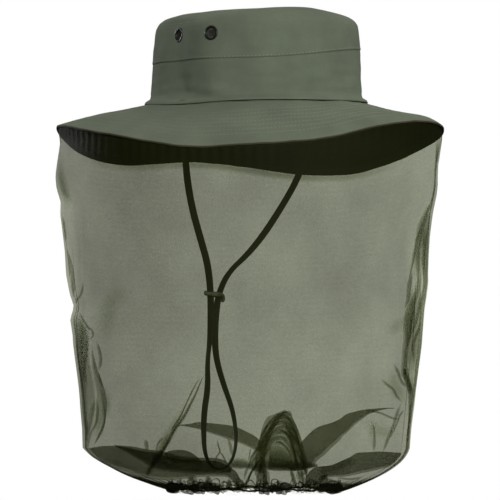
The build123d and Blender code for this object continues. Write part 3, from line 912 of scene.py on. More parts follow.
# Height in mm, and how far the net has moved there from the brim's outline to its foot outline
NET_SHARES = [(-318, 1.0), (-300, 0.96), (-265, 0.86), (-222, 0.67), (-190, 0.60), (-157, 0.42),
              (-125, 0.28), (-100, 0.18), (-75, 0.05), (-52, 0.0), (-20, 0.0)]
FOOT_LEVEL = -318.0 * MM
FOOT_ACROSS, FOOT_TOWARD = 152.5 * MM, 137.0 * MM
FOOT_CENTRE = place(-8 * MM, 0.0, 0.0)[:2]
# The turned-in floor: share of the foot outline that is left, and height in mm
FLOOR_CURVE = [(1.0, -318.0), (0.985, -322.0), (0.95, -328.0), (0.90, -333.5), (0.85, -338.0),
               (0.80, -342.0), (0.744, -347.0), (0.70, -351.0), (0.66, -354.0), (0.63, -355.6),
               (0.58, -356.6), (0.545, -356.0)]
FLOOR_TILT = 0.020
HEM_LOW, HEM_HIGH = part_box("hem_casing")
HEM_CENTRE = np.array(((HEM_LOW + HEM_HIGH) / 2)[:2]) + 4 * MM * TO_RIGHT[:2]
HEM_RADIUS = (HEM_HIGH.x - HEM_LOW.x) / 2 - 3 * MM
# Soft pleats: spacing, height and phase
PLEATS = [(21.0 * MM, 0.9 * MM, 0.3), (13.0 * MM, 0.4 * MM, 4.1), (37.0 * MM, 1.6 * MM, 7.7)]
SIDE_ANGLE, SIDE_SPREAD = math.radians(93), math.radians(23)
# How the pleats wander, and the slow waves of the whole wall
NET_DRIFT = [(11.0, 2.0, 0.020, 0.35), (31.0, 5.0, 0.006, 0.6)]
NET_BILLOW = [(7.0, 3.3, 3.2 * MM, 1.0), (19.0, 6.6, 1.3 * MM, 1.0)]
HEADING_GATHER, HEADING_HEIGHT = 9.0 * MM, 0.3 * MM
RUFFLE_HEIGHT, RUFFLE_LIFT = 1.9 * MM, 0.4 * MM
NET_GIRTH = 0.94
# How far the net stands out from its plain outline at each height in mm, on the two sides
LEFT_SWELL = [(-318, -1.0), (-300, -1.6), (-213, 0.0), (-199, 1.5), (-187, -2.8), (-176, -0.6),
              (-157, 0.9), (-135, 0.3), (-102, 1.8), (-90, -0.2), (-79, 1.8), (-66, 2.0), (-52, 0.0),
              (-35, -2.4), (-20, 0.0)]
RIGHT_SWELL = [(-318, -3.4), (-290, -2.8), (-235, -1.8), (-179, -1.8), (-165, -2.2), (-157, -3.6),
               (-140, -4.8), (-124, -5.4), (-102, -4.6), (-85, -3.7), (-68, -4.6), (-57, -4.4),
               (-46, -2.6), (-35, -0.8), (-20, 0.0)]
SWELL_SPREAD = 30.0
FLOOR_GATHERS = 58


def net_smooth_point(angle, level):
    """Net surface without folds. Level runs 0 to 1 down the body and 1 to 2 across the floor."""
    rim_radius, rim_height = brim_rim(angle)
    rim = compass(angle) * (rim_radius - 1.2 * MM)[..., None]
    turn = from_front(angle)
    foot = FOOT_CENTRE + place(FOOT_ACROSS * np.sin(turn), FOOT_TOWARD * np.cos(turn), 0.0)[..., :2]
    top = rim_height - 1.9 * MM
    down = np.clip(level, 0, 1)
    height = top + (FOOT_LEVEL - top) * down
    levels, shares = zip(*NET_SHARES)
    moved = np.interp(height / MM, levels, shares)[..., None]
    flat = rim * (1 - moved) + foot * moved
    swell = np.zeros_like(height)
    for middle, steps in ((-90, LEFT_SWELL), (90, RIGHT_SWELL)):
        heights, swells = zip(*steps)
        swell = swell + bell(angle, middle, SWELL_SPREAD) * np.interp(height / MM, heights, swells) * MM
    flat = flat + compass(angle) * swell[..., None]
    across = np.clip(level - 1, 0, 1)
    curve = smooth_path(FLOOR_CURVE, 60)
    stops = np.linspace(0, 1, len(curve))
    left = np.interp(across, stops, curve[:, 0])[..., None]
    floor = np.interp(across, stops, curve[:, 1]) * MM
    hem = HEM_CENTRE + (HEM_RADIUS + 1.0 * MM) * compass(angle)
    pulled = HEM_CENTRE + (flat - HEM_CENTRE) * left
    pull = soft_step(across, 0.45, 1.0)[..., None]
    flat = np.where(across[..., None] > 0, pulled * (1 - pull) + hem * pull, flat)
    tilt = FLOOR_TILT * (flat @ TO_RIGHT[:2]) * np.sin(math.pi * across) ** 0.7
    height = np.where(across > 0, floor - np.clip(tilt, -0.0025, 0.003), height)
    return np.concatenate([flat, height[..., None]], axis=-1)


def net_grid():
    """The hung net: pleated at its sides, gathered at the heading and towards the hem."""
    levels = np.concatenate([np.linspace(0, 1, BODY_ROWS), 1 + np.linspace(0, 1, FLOOR_ROWS + 1)[1:]])
    angles, level = np.meshgrid(turns(NET_COLUMNS), levels)
    points = net_smooth_point(angles, level)
    outward = unit(points[..., :2] - FOOT_CENTRE)
    outward = np.concatenate([outward, np.zeros_like(outward[..., :1])], axis=-1)
    ahead = np.stack([-outward[..., 1], outward[..., 0], np.zeros_like(level)], axis=-1)
    turn = from_front(angles)
    side = np.exp(-((np.abs(turn) - SIDE_ANGLE) / SIDE_SPREAD) ** 2)
    rear = 0.10 * soft_step(np.abs(turn), 1.9, 2.6)
    weight = np.clip(side + rear + 0.03, 0, 1)
    body, floor = np.clip(level, 0, 1), np.clip(level - 1, 0, 1)
    fall = soft_step(body, 0.06, 0.45) * (1 - 0.75 * floor)
    drift = noise_layers(points, NET_DRIFT)
    swell = 1.0 + 0.7 * noise_at(points * np.array([1, 1, 0.5]), 14.0, 9.0)
    out = np.zeros_like(level)
    lean = np.zeros_like(level)
    for period, height, offset in PLEATS:
        shifted = angles + drift * (0.6 + 0.4 * body) * 2 * math.pi / NET_GIRTH
        phase = round(NET_GIRTH / period) * shifted + offset
        out += height * np.sin(phase) * swell
        lean += 0.9 * height * np.sin(2 * phase + 0.8) * swell
    out = out * weight * fall
    lean = lean * weight * fall
    heading = 1 - soft_step(body, 0.0, 0.13)
    out += HEADING_HEIGHT * heading * np.sin(round(NET_GIRTH / HEADING_GATHER) * angles)
    out += noise_layers(points, NET_BILLOW) * soft_step(body, 0.03, 0.2) * (1 - 0.6 * floor)
    points = points + outward * out[..., None] + ahead * lean[..., None]
    gather = floor ** 1.6
    ruffle = np.sin(FLOOR_GATHERS * angles + 3.0 * noise_at(points, 12.0, 4.0)) * RUFFLE_HEIGHT
    points[..., 2] += (ruffle + RUFFLE_LIFT) * gather
    spread = net_spread(points @ TO_RIGHT, points[..., 2])
    return np.concatenate([points, spread[..., None]], axis=-1)


def net_spread(across, height):
    """How far the net's holes are pulled open: more at its right and far left, less high on the left."""
    spread = 0.03 * np.clip(across / 0.15, -1, 1)
    spread += 0.035 * np.exp(-((across - 0.02) / 0.08) ** 2 - ((height + 0.27) / 0.06) ** 2)
    spread -= 0.03 * np.exp(-((across + 0.12) / 0.06) ** 2 - ((height + 0.08) / 0.07) ** 2)
    spread += 0.09 * soft_step(-across, 0.158, 0.174) * soft_step(-height, 0.06, 0.10)
    return spread + soft_step(across, 0.135, 0.155) * (0.03 + 0.12 * soft_step(-height, 0.10, 0.18))


def rim_shade():
    """Extra net along the far brim edge, under its heading, fading out on both sides: painted shade that
    softens the lower edge of the dark under the brim.
    """
    angle = math.atan2(TO_CAMERA[1], TO_CAMERA[0]) + np.radians(np.linspace(116, 244, 20))
    radius, height = brim_rim(angle)
    right = compass(angle) @ TO_RIGHT[:2] * radius
    path = np.stack([right / MM * 0.985, height / MM - 4.5], axis=1)
    return smudge(path, 11.0, strength=0.85, front=False)


WALL_STEP = 2 * MM


def wall_depth(front):
    """Function that gives the net wall's distance toward the camera at a place across and a height."""
    levels = np.concatenate([np.linspace(0, 1, 60), 1 + np.linspace(0, 1, 41)[1:]])
    angles, level = np.meshgrid(turns(360), levels)
    points = net_smooth_point(angles, level)
    across, toward, height = points @ TO_RIGHT, points @ TO_CAMERA, points[..., 2]
    stops = np.arange(-0.19, 0.1801, WALL_STEP)
    depths, heights, edges = [], [], []
    for row in range(len(levels)):
        first, last = np.argmin(across[row]), np.argmax(across[row])
        edges.append((height[row, first], across[row, first], height[row, last], across[row, last]))
        half = np.where(toward[row] > 0 if front else toward[row] <= 0)[0]
        order = half[np.argsort(across[row, half])]
        depths.append(np.interp(stops, across[row, order], toward[row, order]))
        heights.append(np.interp(stops, across[row, order], height[row, order]))
    depths, heights = np.array(depths), np.array(heights)
    left_z, left_edge, right_z, right_edge = np.array(edges).T

    def depth(right, z):
        right, z = np.broadcast_arrays(right, z)
        low = np.interp(-z, -left_z, left_edge) + 1.2 * MM
        high = np.interp(-z, -right_z, right_edge) - 1.2 * MM
        right = np.clip(right, low, high)
        out = []
        for one_right, one_z in zip(right.ravel(), z.ravel()):
            spot = (one_right - stops[0]) / WALL_STEP
            i = int(np.clip(spot, 0, len(stops) - 2))
            share = np.clip(spot - i, 0, 1)
            ends = [np.interp(-one_z, -heights[:, k], depths[:, k]) for k in (i, i + 1)]
            out.append(ends[0] * (1 - share) + ends[1] * share)
        return right, np.array(out).reshape(right.shape)

    return depth


FRONT_WALL, REAR_WALL = wall_depth(True), wall_depth(False)


def on_wall(right, z, front, inside):
    """Point just inside the net's front or rear wall."""
    right, depth = FRONT_WALL(right, z) if front else REAR_WALL(right, z)
    return place(right, depth - inside if front else depth + inside, z)


# How far a fold is spread open where it has faded into the flat net
FADED = 0.58


def cloth_patch(grid):
    """Points, faces and uvs of one open patch of net, with the cloth's own scale."""
    rows, columns = grid.shape[:2]
    wide = np.linalg.norm(np.diff(grid[..., :3], axis=1), axis=2).sum(axis=1).mean()
    tall = np.linalg.norm(np.diff(grid[..., :3], axis=0), axis=2).sum(axis=0).mean()
    return grid_mesh(grid, grid_uv(rows, columns, wide, tall), wrap_columns=False)


def tuck(upper, lower, front=True, belly=5.0, layers=1, seed=0.0, fade="", slack=0.0):
    """Net doubled over itself between two edges given as (across, height) points in mm.

    The letters in fade name edges that thin out softly: u for upper, l for lower, e for the ends,
    and s for a narrow softening of both long edges. Slack is how far the whole fold is spread open.
    """
    steps = 56
    top, low = smooth_path(upper, steps) * MM, smooth_path(lower, steps) * MM
    parts = []
    for layer in range(layers):
        share = np.linspace(0.0, 1 - 0.12 * layer, 13)[:, None]
        right = top[None, :, 0] * (1 - share) + low[None, :, 0] * share
        z = top[None, :, 1] * (1 - share) + low[None, :, 1] * share
        across = np.linspace(0, 1, steps)[None, :]
        swell = np.sin(math.pi * np.clip(share, 0, 1)) * np.sin(math.pi * across) ** 0.6
        inside = (2.2 + layer * 1.6 + belly * swell) * MM
        points = on_wall(right, z, front, inside)
        points += noise_at(points, 45.0, seed + layer)[..., None] * TO_CAMERA * 1.1 * MM
        thin = np.full_like(right, slack / FADED)
        if "u" in fade:
            thin = np.maximum(thin, 1 - soft_step(share, 0, 0.6))
        if "l" in fade:
            thin = np.maximum(thin, soft_step(share, 0.4, 1 - 0.12 * layer))
        if "s" in fade:
            thin = np.maximum(thin, 1 - soft_step(np.minimum(share, 1 - 0.12 * layer - share), 0, 0.24))
        if "e" in fade:
            thin = np.maximum(thin, 1 - soft_step(np.minimum(across, 1 - across), 0, 0.3))
        parts.append(cloth_patch(np.concatenate([points, FADED * thin[..., None]], axis=-1)))
    return joined(parts)


def across_line(line):
    """Unit vectors at right angles to a line of (across, height) points."""
    ahead = unit(np.gradient(line, axis=0))
    return np.stack([ahead[:, 1], -ahead[:, 0]], axis=1)


def crease(path, width, front=True, seed=0.0, layers=1, fade=0.6, tail=0.22):
    """A fold seen edge-on: a ribbon of doubled net along a path of (across, height) points in mm.

    One edge is crisp where the cloth turns, and the other fades into the flat net.
    """
    path = np.asarray(path, float)
    length = np.linalg.norm(np.diff(path, axis=0), axis=1).sum()
    steps = max(12, int(length / 2.2))
    line = smooth_path(path, steps)
    line[:, 0] += noise_at(np.stack([line[:, 1], line[:, 0], 0 * line[:, 0]], axis=1), 0.06, seed) * 0.9
    beside = across_line(line)
    t = np.linspace(0, 1, steps)
    taper = np.minimum(1, 4 * np.minimum(t, 1 - t)) ** 0.7 + 0.08
    uneven = 1 + 0.45 * noise_at(np.stack([line[:, 1], 0 * t, line[:, 0]], axis=1), 0.045, seed + 4.0)
    ends = FADED * (1 - soft_step(np.minimum(t, 1 - t), 0, tail))
    parts = []
    for share, depth in ((1.0, 1.0), (0.45, 1.7))[:layers]:
        half = 0.5 * width * share * taper * uneven
        sides = np.array([-1.0, -0.5, 0.0, 0.5, 1.0])[:, None]
        right = (line[None, :, 0] + sides * half * beside[None, :, 0]) * MM
        z = (line[None, :, 1] + sides * half * beside[None, :, 1]) * MM
        lift = (depth + 0.5 * (1 - np.abs(sides))) * MM
        sides_fade = FADED * fade * np.clip(np.abs(sides + 0.25) - 0.35, 0, 1)
        thin = np.maximum(sides_fade, ends * (0.4 + 0.6 * fade))
        grid = np.concatenate([on_wall(right, z, front, lift), thin[..., None]], axis=-1)
        parts.append(cloth_patch(grid))
    return joined(parts)


def smudge(path, width, strength, front=True):
    """A soft fold with no edge: a wide ribbon of net that fades out on both sides."""
    line = smooth_path(path, 26)
    beside = across_line(line)
    t = np.linspace(0, 1, len(line))
    sides = np.linspace(-1, 1, 9)[:, None]
    right = (line[None, :, 0] + sides * width / 2 * beside[None, :, 0]) * MM
    z = (line[None, :, 1] + sides * width / 2 * beside[None, :, 1]) * MM
    body = np.cos(sides * math.pi / 2) ** 1.3 * np.sin(math.pi * t)[None, :] ** 0.8
    thin = FADED * (1 - strength * body)
    return cloth_patch(np.concatenate([on_wall(right, z, front, 1.4 * MM), thin[..., None]], axis=-1))


def net_tucks():
    """The large folds low in the net, where the cloth doubles over above the hem."""
    return [
        tuck([(-154, -318.5), (-148, -316.8), (-138, -315.5), (-127, -315.5), (-114, -317.5),
             (-105, -319.5), (-99, -320.5), (-89, -321.5), (-79, -325), (-65, -327.5), (-51, -328),
             (-37, -328.5), (-28, -331.5), (-23, -334.5), (-18, -338.5), (-14, -346), (-10, -354)],
            [(-152, -320), (-146, -326.5), (-141, -330.5), (-130, -336), (-123, -338), (-112, -341.5),
             (-105, -344), (-96, -346), (-82, -347), (-70, -346), (-51, -343.5), (-37, -343),
             (-27, -343.5), (-22, -347), (-19, -351.5), (-17, -354), (-15, -356)],
            belly=1.0, layers=2, seed=1.0),
        tuck([(-133, -316), (-114, -318), (-105, -320), (-99, -321), (-89, -322), (-79, -325), (-65, -328),
             (-51, -328.5), (-37, -329), (-28, -332), (-22, -337)],
            [(-130, -318.5), (-121, -323), (-113, -328), (-101, -335), (-95, -338), (-85, -340.5),
             (-73, -342), (-60, -343), (-46, -343), (-34, -343), (-24, -343)],
            front=False, belly=1.0, layers=2, seed=2.0),
        tuck([(-86, -324), (-81, -322), (-73, -321), (-65, -322), (-59, -325), (-54, -329), (-52, -333)],
            [(-86, -327), (-80, -332), (-73, -333), (-66, -333), (-60, -333), (-55, -333), (-52, -334)],
            front=False, belly=1.0, layers=2, seed=3.0),
        tuck([(-79, -300), (-70, -297.5), (-62, -296.5), (-54, -295), (-43, -296), (-29, -297.5),
             (-20, -299), (-15, -301), (-8, -304.5), (-2, -307.5), (4, -312.5), (8, -317)],
            [(-79, -300.5), (-71, -298.5), (-62, -300), (-53, -302), (-43, -305.5), (-34, -308.5),
             (-26, -311.5), (-20, -313.5), (-15, -315), (-7, -318.5), (-1, -321.5), (4, -324)],
            front=False, belly=1.0, layers=2, seed=4.0),
        tuck([(-27, -329), (-15, -327), (-5, -330.5), (2, -333), (8, -333)],
            [(-22, -338), (-15, -339), (-9, -338.5), (-3, -340), (6, -343)],
            front=False, belly=1.0, layers=2, seed=12.0, fade="u"),
        tuck([(44, -336), (42.5, -322), (42.5, -315), (47, -309.5), (53.5, -303), (60, -299), (70, -296),
             (79, -292), (85, -287.5), (93, -285), (102, -283), (112, -282), (121, -281.3), (129, -281.3)],
            [(50, -338), (55, -335), (58, -331), (65, -325.5), (71, -319.5), (79, -312), (82, -308),
             (86, -304.5), (93, -297.5), (100, -292), (107, -287), (117, -283.5), (124, -282.3),
             (129, -282)], front=False, belly=2.0, layers=2, seed=5.0),
        tuck([(45, -344.5), (48, -339), (54, -334.5), (63, -333.3), (70, -332.5), (78, -328.5),
             (85, -325.5), (92, -321.5), (101, -321), (112, -320.5), (121, -321), (128, -321.7),
             (134, -322.2)],
            [(45, -354), (52, -353.5), (58, -349), (65, -344.5), (72, -343.5), (81, -343.5), (90, -342),
             (97, -340.5), (105, -339), (112, -337.3), (118, -336), (125, -333.5), (133, -325)],
            belly=1.0, layers=2, seed=6.0),
        tuck([(55, -337), (63, -336.5), (72, -334.5), (81, -331), (89, -328), (97, -327)],
            [(58, -349), (65, -346), (73, -343), (83, -341), (92, -337), (99, -331)],
            front=False, belly=1.0, seed=7.0, fade="le", slack=0.1),
        tuck([(26, -282), (17, -286), (10, -289), (6, -297), (3, -308), (0, -318), (-4, -329), (-2, -338),
             (3, -350)],
            [(27, -283), (22, -289), (16, -297), (11, -306), (9, -318), (8, -329), (10, -338), (10, -345),
             (10, -352)], belly=2.0, seed=8.0),
        tuck([(24, -284), (31, -283.5), (34, -292), (38, -301), (41, -311), (44, -320), (47, -330),
             (47, -340)],
            [(18, -294), (22, -299), (27, -305), (30, -313), (33, -321), (35, -329), (37, -336), (38, -344)],
            belly=2.0, seed=9.0, fade="l"),
        tuck([(20, -288), (14, -297), (10, -306), (8, -318), (7, -330), (8, -340)],
            [(29, -284), (36, -297), (40, -309), (43, -320), (46, -330), (47, -340)],
            front=False, belly=2.0, seed=10.0),
        tuck([(12, -312), (19, -310), (26, -313), (31, -319), (35, -327)],
            [(11, -337), (18, -338), (24, -338), (30, -338), (37, -338)],
            belly=2.0, layers=2, seed=10.5, fade="u"),
        tuck([(0, -326), (14, -328), (26, -329), (38, -328), (48, -330), (58, -334)],
            [(-1, -338), (14, -339), (28, -339.5), (36, -341), (46, -339.5), (58, -337)],
            front=False, belly=1.0, layers=2, seed=11.0, fade="u"),
    ]


# The fan of gathers: its outer and inner arches, and where along the arch each rib starts and stops
FAN_OUTER = np.array([(-1, -338), (0, -322), (6, -301), (17, -287), (29, -284), (37, -299), (43, -318),
                      (47, -337)])
FAN_INNER = np.array([(10, -340), (10, -329), (12, -319), (16, -312), (24, -311), (29, -318), (33, -328),
                      (37, -339)])
RIB_SPANS = [(0, 22), (3, 15), (1, 20), (8, 22), (0, 12), (5, 22), (2, 18), (10, 22)]
ARCH_RIBS, LEFT_RIBS, RIGHT_RIBS = 15, 12, 9


def fan_pleats():
    """Fine gathers that fan out where the net is bunched up in front of the hem."""
    ribs = []
    for k in range(ARCH_RIBS):
        share = 0.04 + 0.062 * k
        path = smooth_path(FAN_OUTER * (1 - share) + FAN_INNER * share, 22)
        start, stop = RIB_SPANS[k % len(RIB_SPANS)]
        ribs.append(crease(path[start:stop:2], 1.2 + 0.5 * (k % 3), seed=60.0 + k, fade=0.5))
    for k in range(LEFT_RIBS):
        top = np.array([18.0 - 1.5 * k + 3.2 * math.sin(2.1 * k), -288.0 - 3.9 * k])
        bow = 1.0 + 0.5 * math.sin(1.7 * k)
        path = top + [(3, 0), (-3 * bow, -7), (-8 * bow, -17), (-10 * bow, -27)]
        ribs.append(crease(path, 1.6 + 0.5 * (k % 3), seed=80.0 + k, layers=1 + k % 2, fade=0.3))
    for k in range(RIGHT_RIBS):
        top = np.array([30.0 + 1.2 * k + 2.6 * math.sin(1.9 * k + 1.0), -289.0 - 4.6 * k])
        bow = 1.0 + 0.5 * math.sin(2.3 * k)
        path = top + [(-3, 0), (2 * bow, -8), (5 * bow, -18), (7 * bow, -26)]
        ribs.append(crease(path, 1.5 + 0.5 * (k % 3), seed=95.0 + k, layers=1 + k % 2, fade=0.3))
    return ribs


def net_creases():
    """Narrow folds: the long one that runs down to the left, its branches, and the fan by the hem."""
    return [
        crease([(-47, -251), (-55, -268), (-63, -284), (-74, -301), (-84, -318), (-95, -333), (-102, -347)],
            3.0, seed=1.0, layers=2, fade=0.3, tail=0.06),
        crease([(-50, -252), (-58, -266), (-64, -279), (-71, -292), (-77, -302)],
            1.8, seed=2.0, layers=2, fade=0.3, tail=0.1),
        smudge([(-60, -276), (-72, -294), (-82, -309), (-90, -322)], 12.0, strength=0.55),
        crease([(-78, -302), (-83, -312), (-88, -322), (-96, -335), (-102, -345)], 6.0, seed=4.0, fade=0.8),
        crease([(-91, -322), (-90, -315), (-87, -310), (-84, -307)], 1.8, seed=3.0),
        crease([(-100, -309), (-99, -320)], 3.0, seed=9.0),
        crease([(-35, -309), (-34, -315), (-33, -320), (-36, -325), (-37, -330)], 1.8, seed=5.0, layers=2),
        crease([(-33, -320), (-30, -325), (-27, -331)], 1.8, seed=6.0, layers=2),
        crease([(-26, -309), (-24, -318), (-22, -328)], 3.2, front=False, seed=7.0),
        crease([(-5, -318), (-6, -326), (-7, -332)], 1.6, front=False, seed=8.0),
        crease([(26, -283), (20, -291), (13, -302), (8, -316), (6, -332), (8, -353)],
            3.4, seed=18.0, fade=0.5),
        crease([(13, -290), (8, -300), (5, -312), (0, -326), (2, -342)], 2.4, seed=18.5),
        crease([(19, -300), (27, -303), (32, -311), (35, -323), (38, -338), (41, -352)],
            2.6, seed=19.0, layers=2),
        crease([(16, -312), (22, -312), (29, -319), (33, -330)], 2.2, seed=20.0, layers=2),
        crease([(30, -284), (36, -298), (40, -309), (44, -322)], 2.0, seed=21.0),
        crease([(14, -296), (9, -309), (5, -322), (4, -334)], 1.4, seed=21.5),
        crease([(24, -292), (28, -298), (33, -306), (38, -313)], 1.4, seed=22.0),
        crease([(6, -334), (8, -343), (9, -354)], 7.0, seed=22.5, layers=2, fade=0.3),
        crease([(31, -336), (34, -345), (37, -354)], 3.4, seed=23.0, layers=2, fade=0.3),
        crease([(38, -337), (42, -346), (46, -354)], 6.0, seed=23.5),
        crease([(-44, -342), (-43, -348), (-43, -354)], 6.0, seed=24.0, layers=2, fade=0.3),
        crease([(-25, -345), (-25, -350), (-26, -355)], 4.0, seed=24.5, layers=2, fade=0.3),
        crease([(-62, -343), (-58, -348), (-60, -354)], 9.0, seed=25.0, layers=2, fade=0.5),
        crease([(64, -341), (60, -347), (58, -355)], 9.0, seed=25.5, layers=2, fade=0.3),
        crease([(60, -343), (70, -348), (84, -351.5), (96, -352.5)], 2.8, seed=26.0),
        crease([(60, -348), (70, -352), (80, -354)], 2.4, seed=26.5),
        crease([(72, -344), (86, -346), (98, -344)], 1.6, seed=27.0),
        crease([(-86, -353), (-74, -350.5), (-62, -352)], 1.8, seed=27.5),
        crease([(-80, -355), (-70, -353), (-58, -353)], 2.0, seed=28.0),
        smudge([(-119, -170), (-133, -186), (-137, -205), (-142, -222)], 22.0, strength=0.42),
        smudge([(-150, -330), (-128, -333), (-108, -340)], 9.0, front=False, strength=0.4),
        crease([(110, -295), (111, -310), (110, -323)], 2.2, front=False, seed=10.0),
        crease([(133, -276), (128, -288), (124, -300), (119, -312), (116, -322)], 3.4, seed=11.0),
        crease([(114, -254), (119, -259), (125, -264), (128, -270), (134, -275)], 2.8, seed=13.0),
        crease([(126, -240), (130, -249), (133, -257), (138, -262)], 2.8, seed=14.0),
        crease([(101, -284), (111, -285), (119, -287), (128, -291), (134, -292)],
            2.4, front=False, seed=15.0),
        crease([(138, -283), (134, -288), (131, -296), (124, -312)], 2.0, front=False, seed=16.0),
        smudge([(124, -246), (125, -256), (130, -266), (138, -272)], 16.0, strength=0.5),
        smudge([(104, -290), (110, -300), (122, -304), (132, -300)], 16.0, front=False, strength=0.45),
        smudge([(106, -292), (106, -306), (108, -320)], 9.0, strength=0.4),
    ]


def side_folds():
    """The long soft folds down both sides, where the spare width of the net gathers."""
    return [
        tuck([(-171, -191), (-173, -200), (-169, -215), (-167, -235), (-164, -260), (-161, -285),
             (-160, -319)],
            [(-164, -191), (-159, -203), (-154, -211), (-152, -235), (-147, -260), (-146, -285),
             (-152, -319)], belly=1.5, seed=21.0, fade="se", slack=0.1),
        tuck([(-163, -205), (-163, -225), (-162, -245), (-160, -270), (-160, -295), (-160, -319)],
            [(-155, -205), (-154, -225), (-156, -245), (-157, -270), (-154, -295), (-155, -319)],
            front=False, belly=1.5, seed=22.0, fade="ule", slack=0.42),
        tuck([(-152, -228), (-150, -245), (-147, -262), (-146, -275), (-148, -292), (-154, -313)],
            [(-150, -228), (-146, -245), (-142, -262), (-138, -278), (-142, -300), (-150, -316)],
            belly=1.5, seed=22.5, fade="se", slack=0.16),
        tuck([(172, -28), (170, -45), (169, -62), (168, -80), (166, -92), (162, -104)],
            [(164, -31), (164, -45), (163, -62), (162, -80), (159, -92), (154, -104)],
            belly=1.0, layers=2, seed=23.0, fade="se", slack=0.05),
        tuck([(165, -88), (163, -100), (161, -118), (160, -135), (159, -150), (158, -172)],
            [(160, -88), (155, -100), (149, -113), (147, -128), (144, -141), (142, -172)],
            front=False, belly=1.0, seed=23.5, fade="se", slack=0.06),
        tuck([(159, -165), (157, -185), (156, -200), (153, -220), (150, -240), (147, -262)],
            [(143, -165), (138, -180), (135, -192), (135, -220), (134, -240), (138, -262)],
            belly=1.0, seed=24.0, fade="se", slack=0.04),
        tuck([(147, -245), (147, -262), (146, -280), (145, -300), (142, -318)],
            [(137, -240), (140, -262), (141, -280), (140, -300), (137, -320)],
            front=False, belly=1.0, seed=25.5, fade="se", slack=0.06),
        smudge([(-182, -45), (-180, -65), (-176, -80), (-170, -96)], 12.0, strength=0.7),
        smudge([(-181, -60), (-178, -78), (-172, -90)], 7.0, strength=0.6),
        crease([(-179, -104), (-177, -116), (-176, -128)], 3.4, seed=31.5),
        crease([(-175, -133), (-172, -144), (-169, -155), (-169, -170), (-170, -185)], 3.8, seed=32.0),
        crease([(-176, -132), (-174, -150), (-173, -170), (-171, -185)], 2.4, front=False, seed=32.5),
        crease([(-161, -163), (-163, -174), (-168, -183), (-171, -187)], 1.8, front=False, seed=33.0),
        crease([(-163, -192), (-158, -201), (-154, -207), (-150, -210), (-149, -215), (-153, -218)],
            2.2, seed=34.0, fade=0.2),
        smudge([(-165, -195), (-159, -205), (-156, -218), (-158, -232)], 10.0, strength=0.55),
        crease([(-162, -203), (-162, -225), (-161, -250), (-160, -280), (-159, -316)],
            6.0, seed=35.0, fade=1.0),
        crease([(-155, -212), (-156, -228), (-158, -245), (-156, -262)], 4.0, seed=35.5, fade=1.0),
        crease([(-150, -224), (-149, -236), (-146, -247), (-142, -258), (-139, -270), (-138, -284),
            (-141, -300), (-148, -314)], 4.2, seed=36.0, fade=0.5, tail=0.1),
        crease([(-146, -219), (-143, -229), (-142, -238), (-144, -248)], 3.2, seed=37.0, fade=0.8),
        crease([(-144, -248), (-142, -256), (-140, -262)], 2.4, seed=37.5),
        crease([(-146, -271), (-145, -283), (-147, -295), (-152, -305), (-155, -318)],
            2.6, seed=38.0, fade=0.4, tail=0.1),
        crease([(-147, -272), (-150, -281), (-152, -290), (-154, -301), (-158, -316)],
            4.4, seed=39.0, fade=0.8),
        crease([(-142, -276), (-141, -290), (-144, -302), (-151, -316)],
            2.0, front=False, seed=40.0, fade=0.4, tail=0.1),
        crease([(-159, -290), (-160, -305), (-159, -318)], 6.0, front=False, seed=40.5, fade=0.7, tail=0.1),
        smudge([(-140, -262), (-136, -276), (-137, -290)], 10.0, strength=0.6),
        crease([(160, -92), (156, -104), (152, -116), (150, -128), (148, -140), (148, -155), (148, -172)],
            4.0, seed=44.0, fade=0.7, tail=0.08),
        crease([(165, -92), (163, -106), (161, -122), (160, -140), (159, -158), (158, -172)],
            2.6, seed=45.0, fade=0.4, tail=0.05),
        crease([(158, -110), (156, -124), (155, -140), (156, -152), (158, -166)],
            3.4, front=False, seed=46.0, fade=0.7),
        crease([(152, -112), (148, -124), (146, -134), (144, -142), (142, -152), (140, -163)],
            2.2, seed=46.5),
        crease([(142, -154), (140, -168), (139, -180), (136, -190)], 3.6, seed=47.0, fade=0.4),
        crease([(151, -150), (150, -163), (147, -176), (143, -188), (141, -202), (140, -214), (138, -228)],
            4.4, seed=47.5, fade=0.7),
        crease([(153, -168), (152, -182), (150, -196), (147, -206), (143, -216)],
            2.4, front=False, seed=48.0, fade=0.5),
        crease([(157, -180), (154, -194), (151, -206), (146, -217), (144, -226), (146, -242)],
            3.0, seed=49.0, fade=0.5),
        crease([(139, -186), (137, -200), (137, -216), (136, -232), (135, -248), (137, -256)],
            5.6, seed=50.0),
        crease([(148, -186), (145, -200), (143, -212), (141, -226)], 2.0, front=False, seed=50.5, fade=0.4),
        crease([(135, -244), (137, -251), (140, -259), (143, -267), (144, -280), (142, -300), (139, -318)],
            5.0, seed=53.0, fade=0.5, tail=0.08),
        crease([(140, -240), (139, -250), (141, -260), (144, -270)], 5.0, front=False, seed=54.0, fade=0.9),
        smudge([(137, -198), (128, -206), (120, -212)], 14.0, strength=0.4),
    ]


def make_net():
    """One piece: the hung net, every fold of it, and the painted shade band along the far brim edge."""
    grid = net_grid()
    drop = np.linalg.norm(np.diff(grid, axis=0), axis=2).mean(axis=1)
    down = np.concatenate([[0], np.cumsum(drop)])
    across, tall = np.meshgrid(np.linspace(0, 1.08, NET_COLUMNS + 1), down)
    parts = [grid_mesh(grid, np.stack([across, tall], axis=-1)), rim_shade()]
    parts += net_tucks() + net_creases() + fan_pleats() + side_folds()
    net = mesh_piece("net_veil", *joined(parts), NET)
    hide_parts("netting")
    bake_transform(net)


make_net()

# ------------------------------------------------------------------------ hem

HEM_RUFFLES = 61
HEM_CURLS = 74


# Small loops: usual half width and height, and how much they vary
CURL_WIDE, CURL_WIDE_VARIES = 3.4 * MM, 1.6 * MM
CURL_TALL, CURL_TALL_VARIES = 4.2 * MM, 2.2 * MM
CASING_RADIUS = HEM_RADIUS - 2.9 * MM
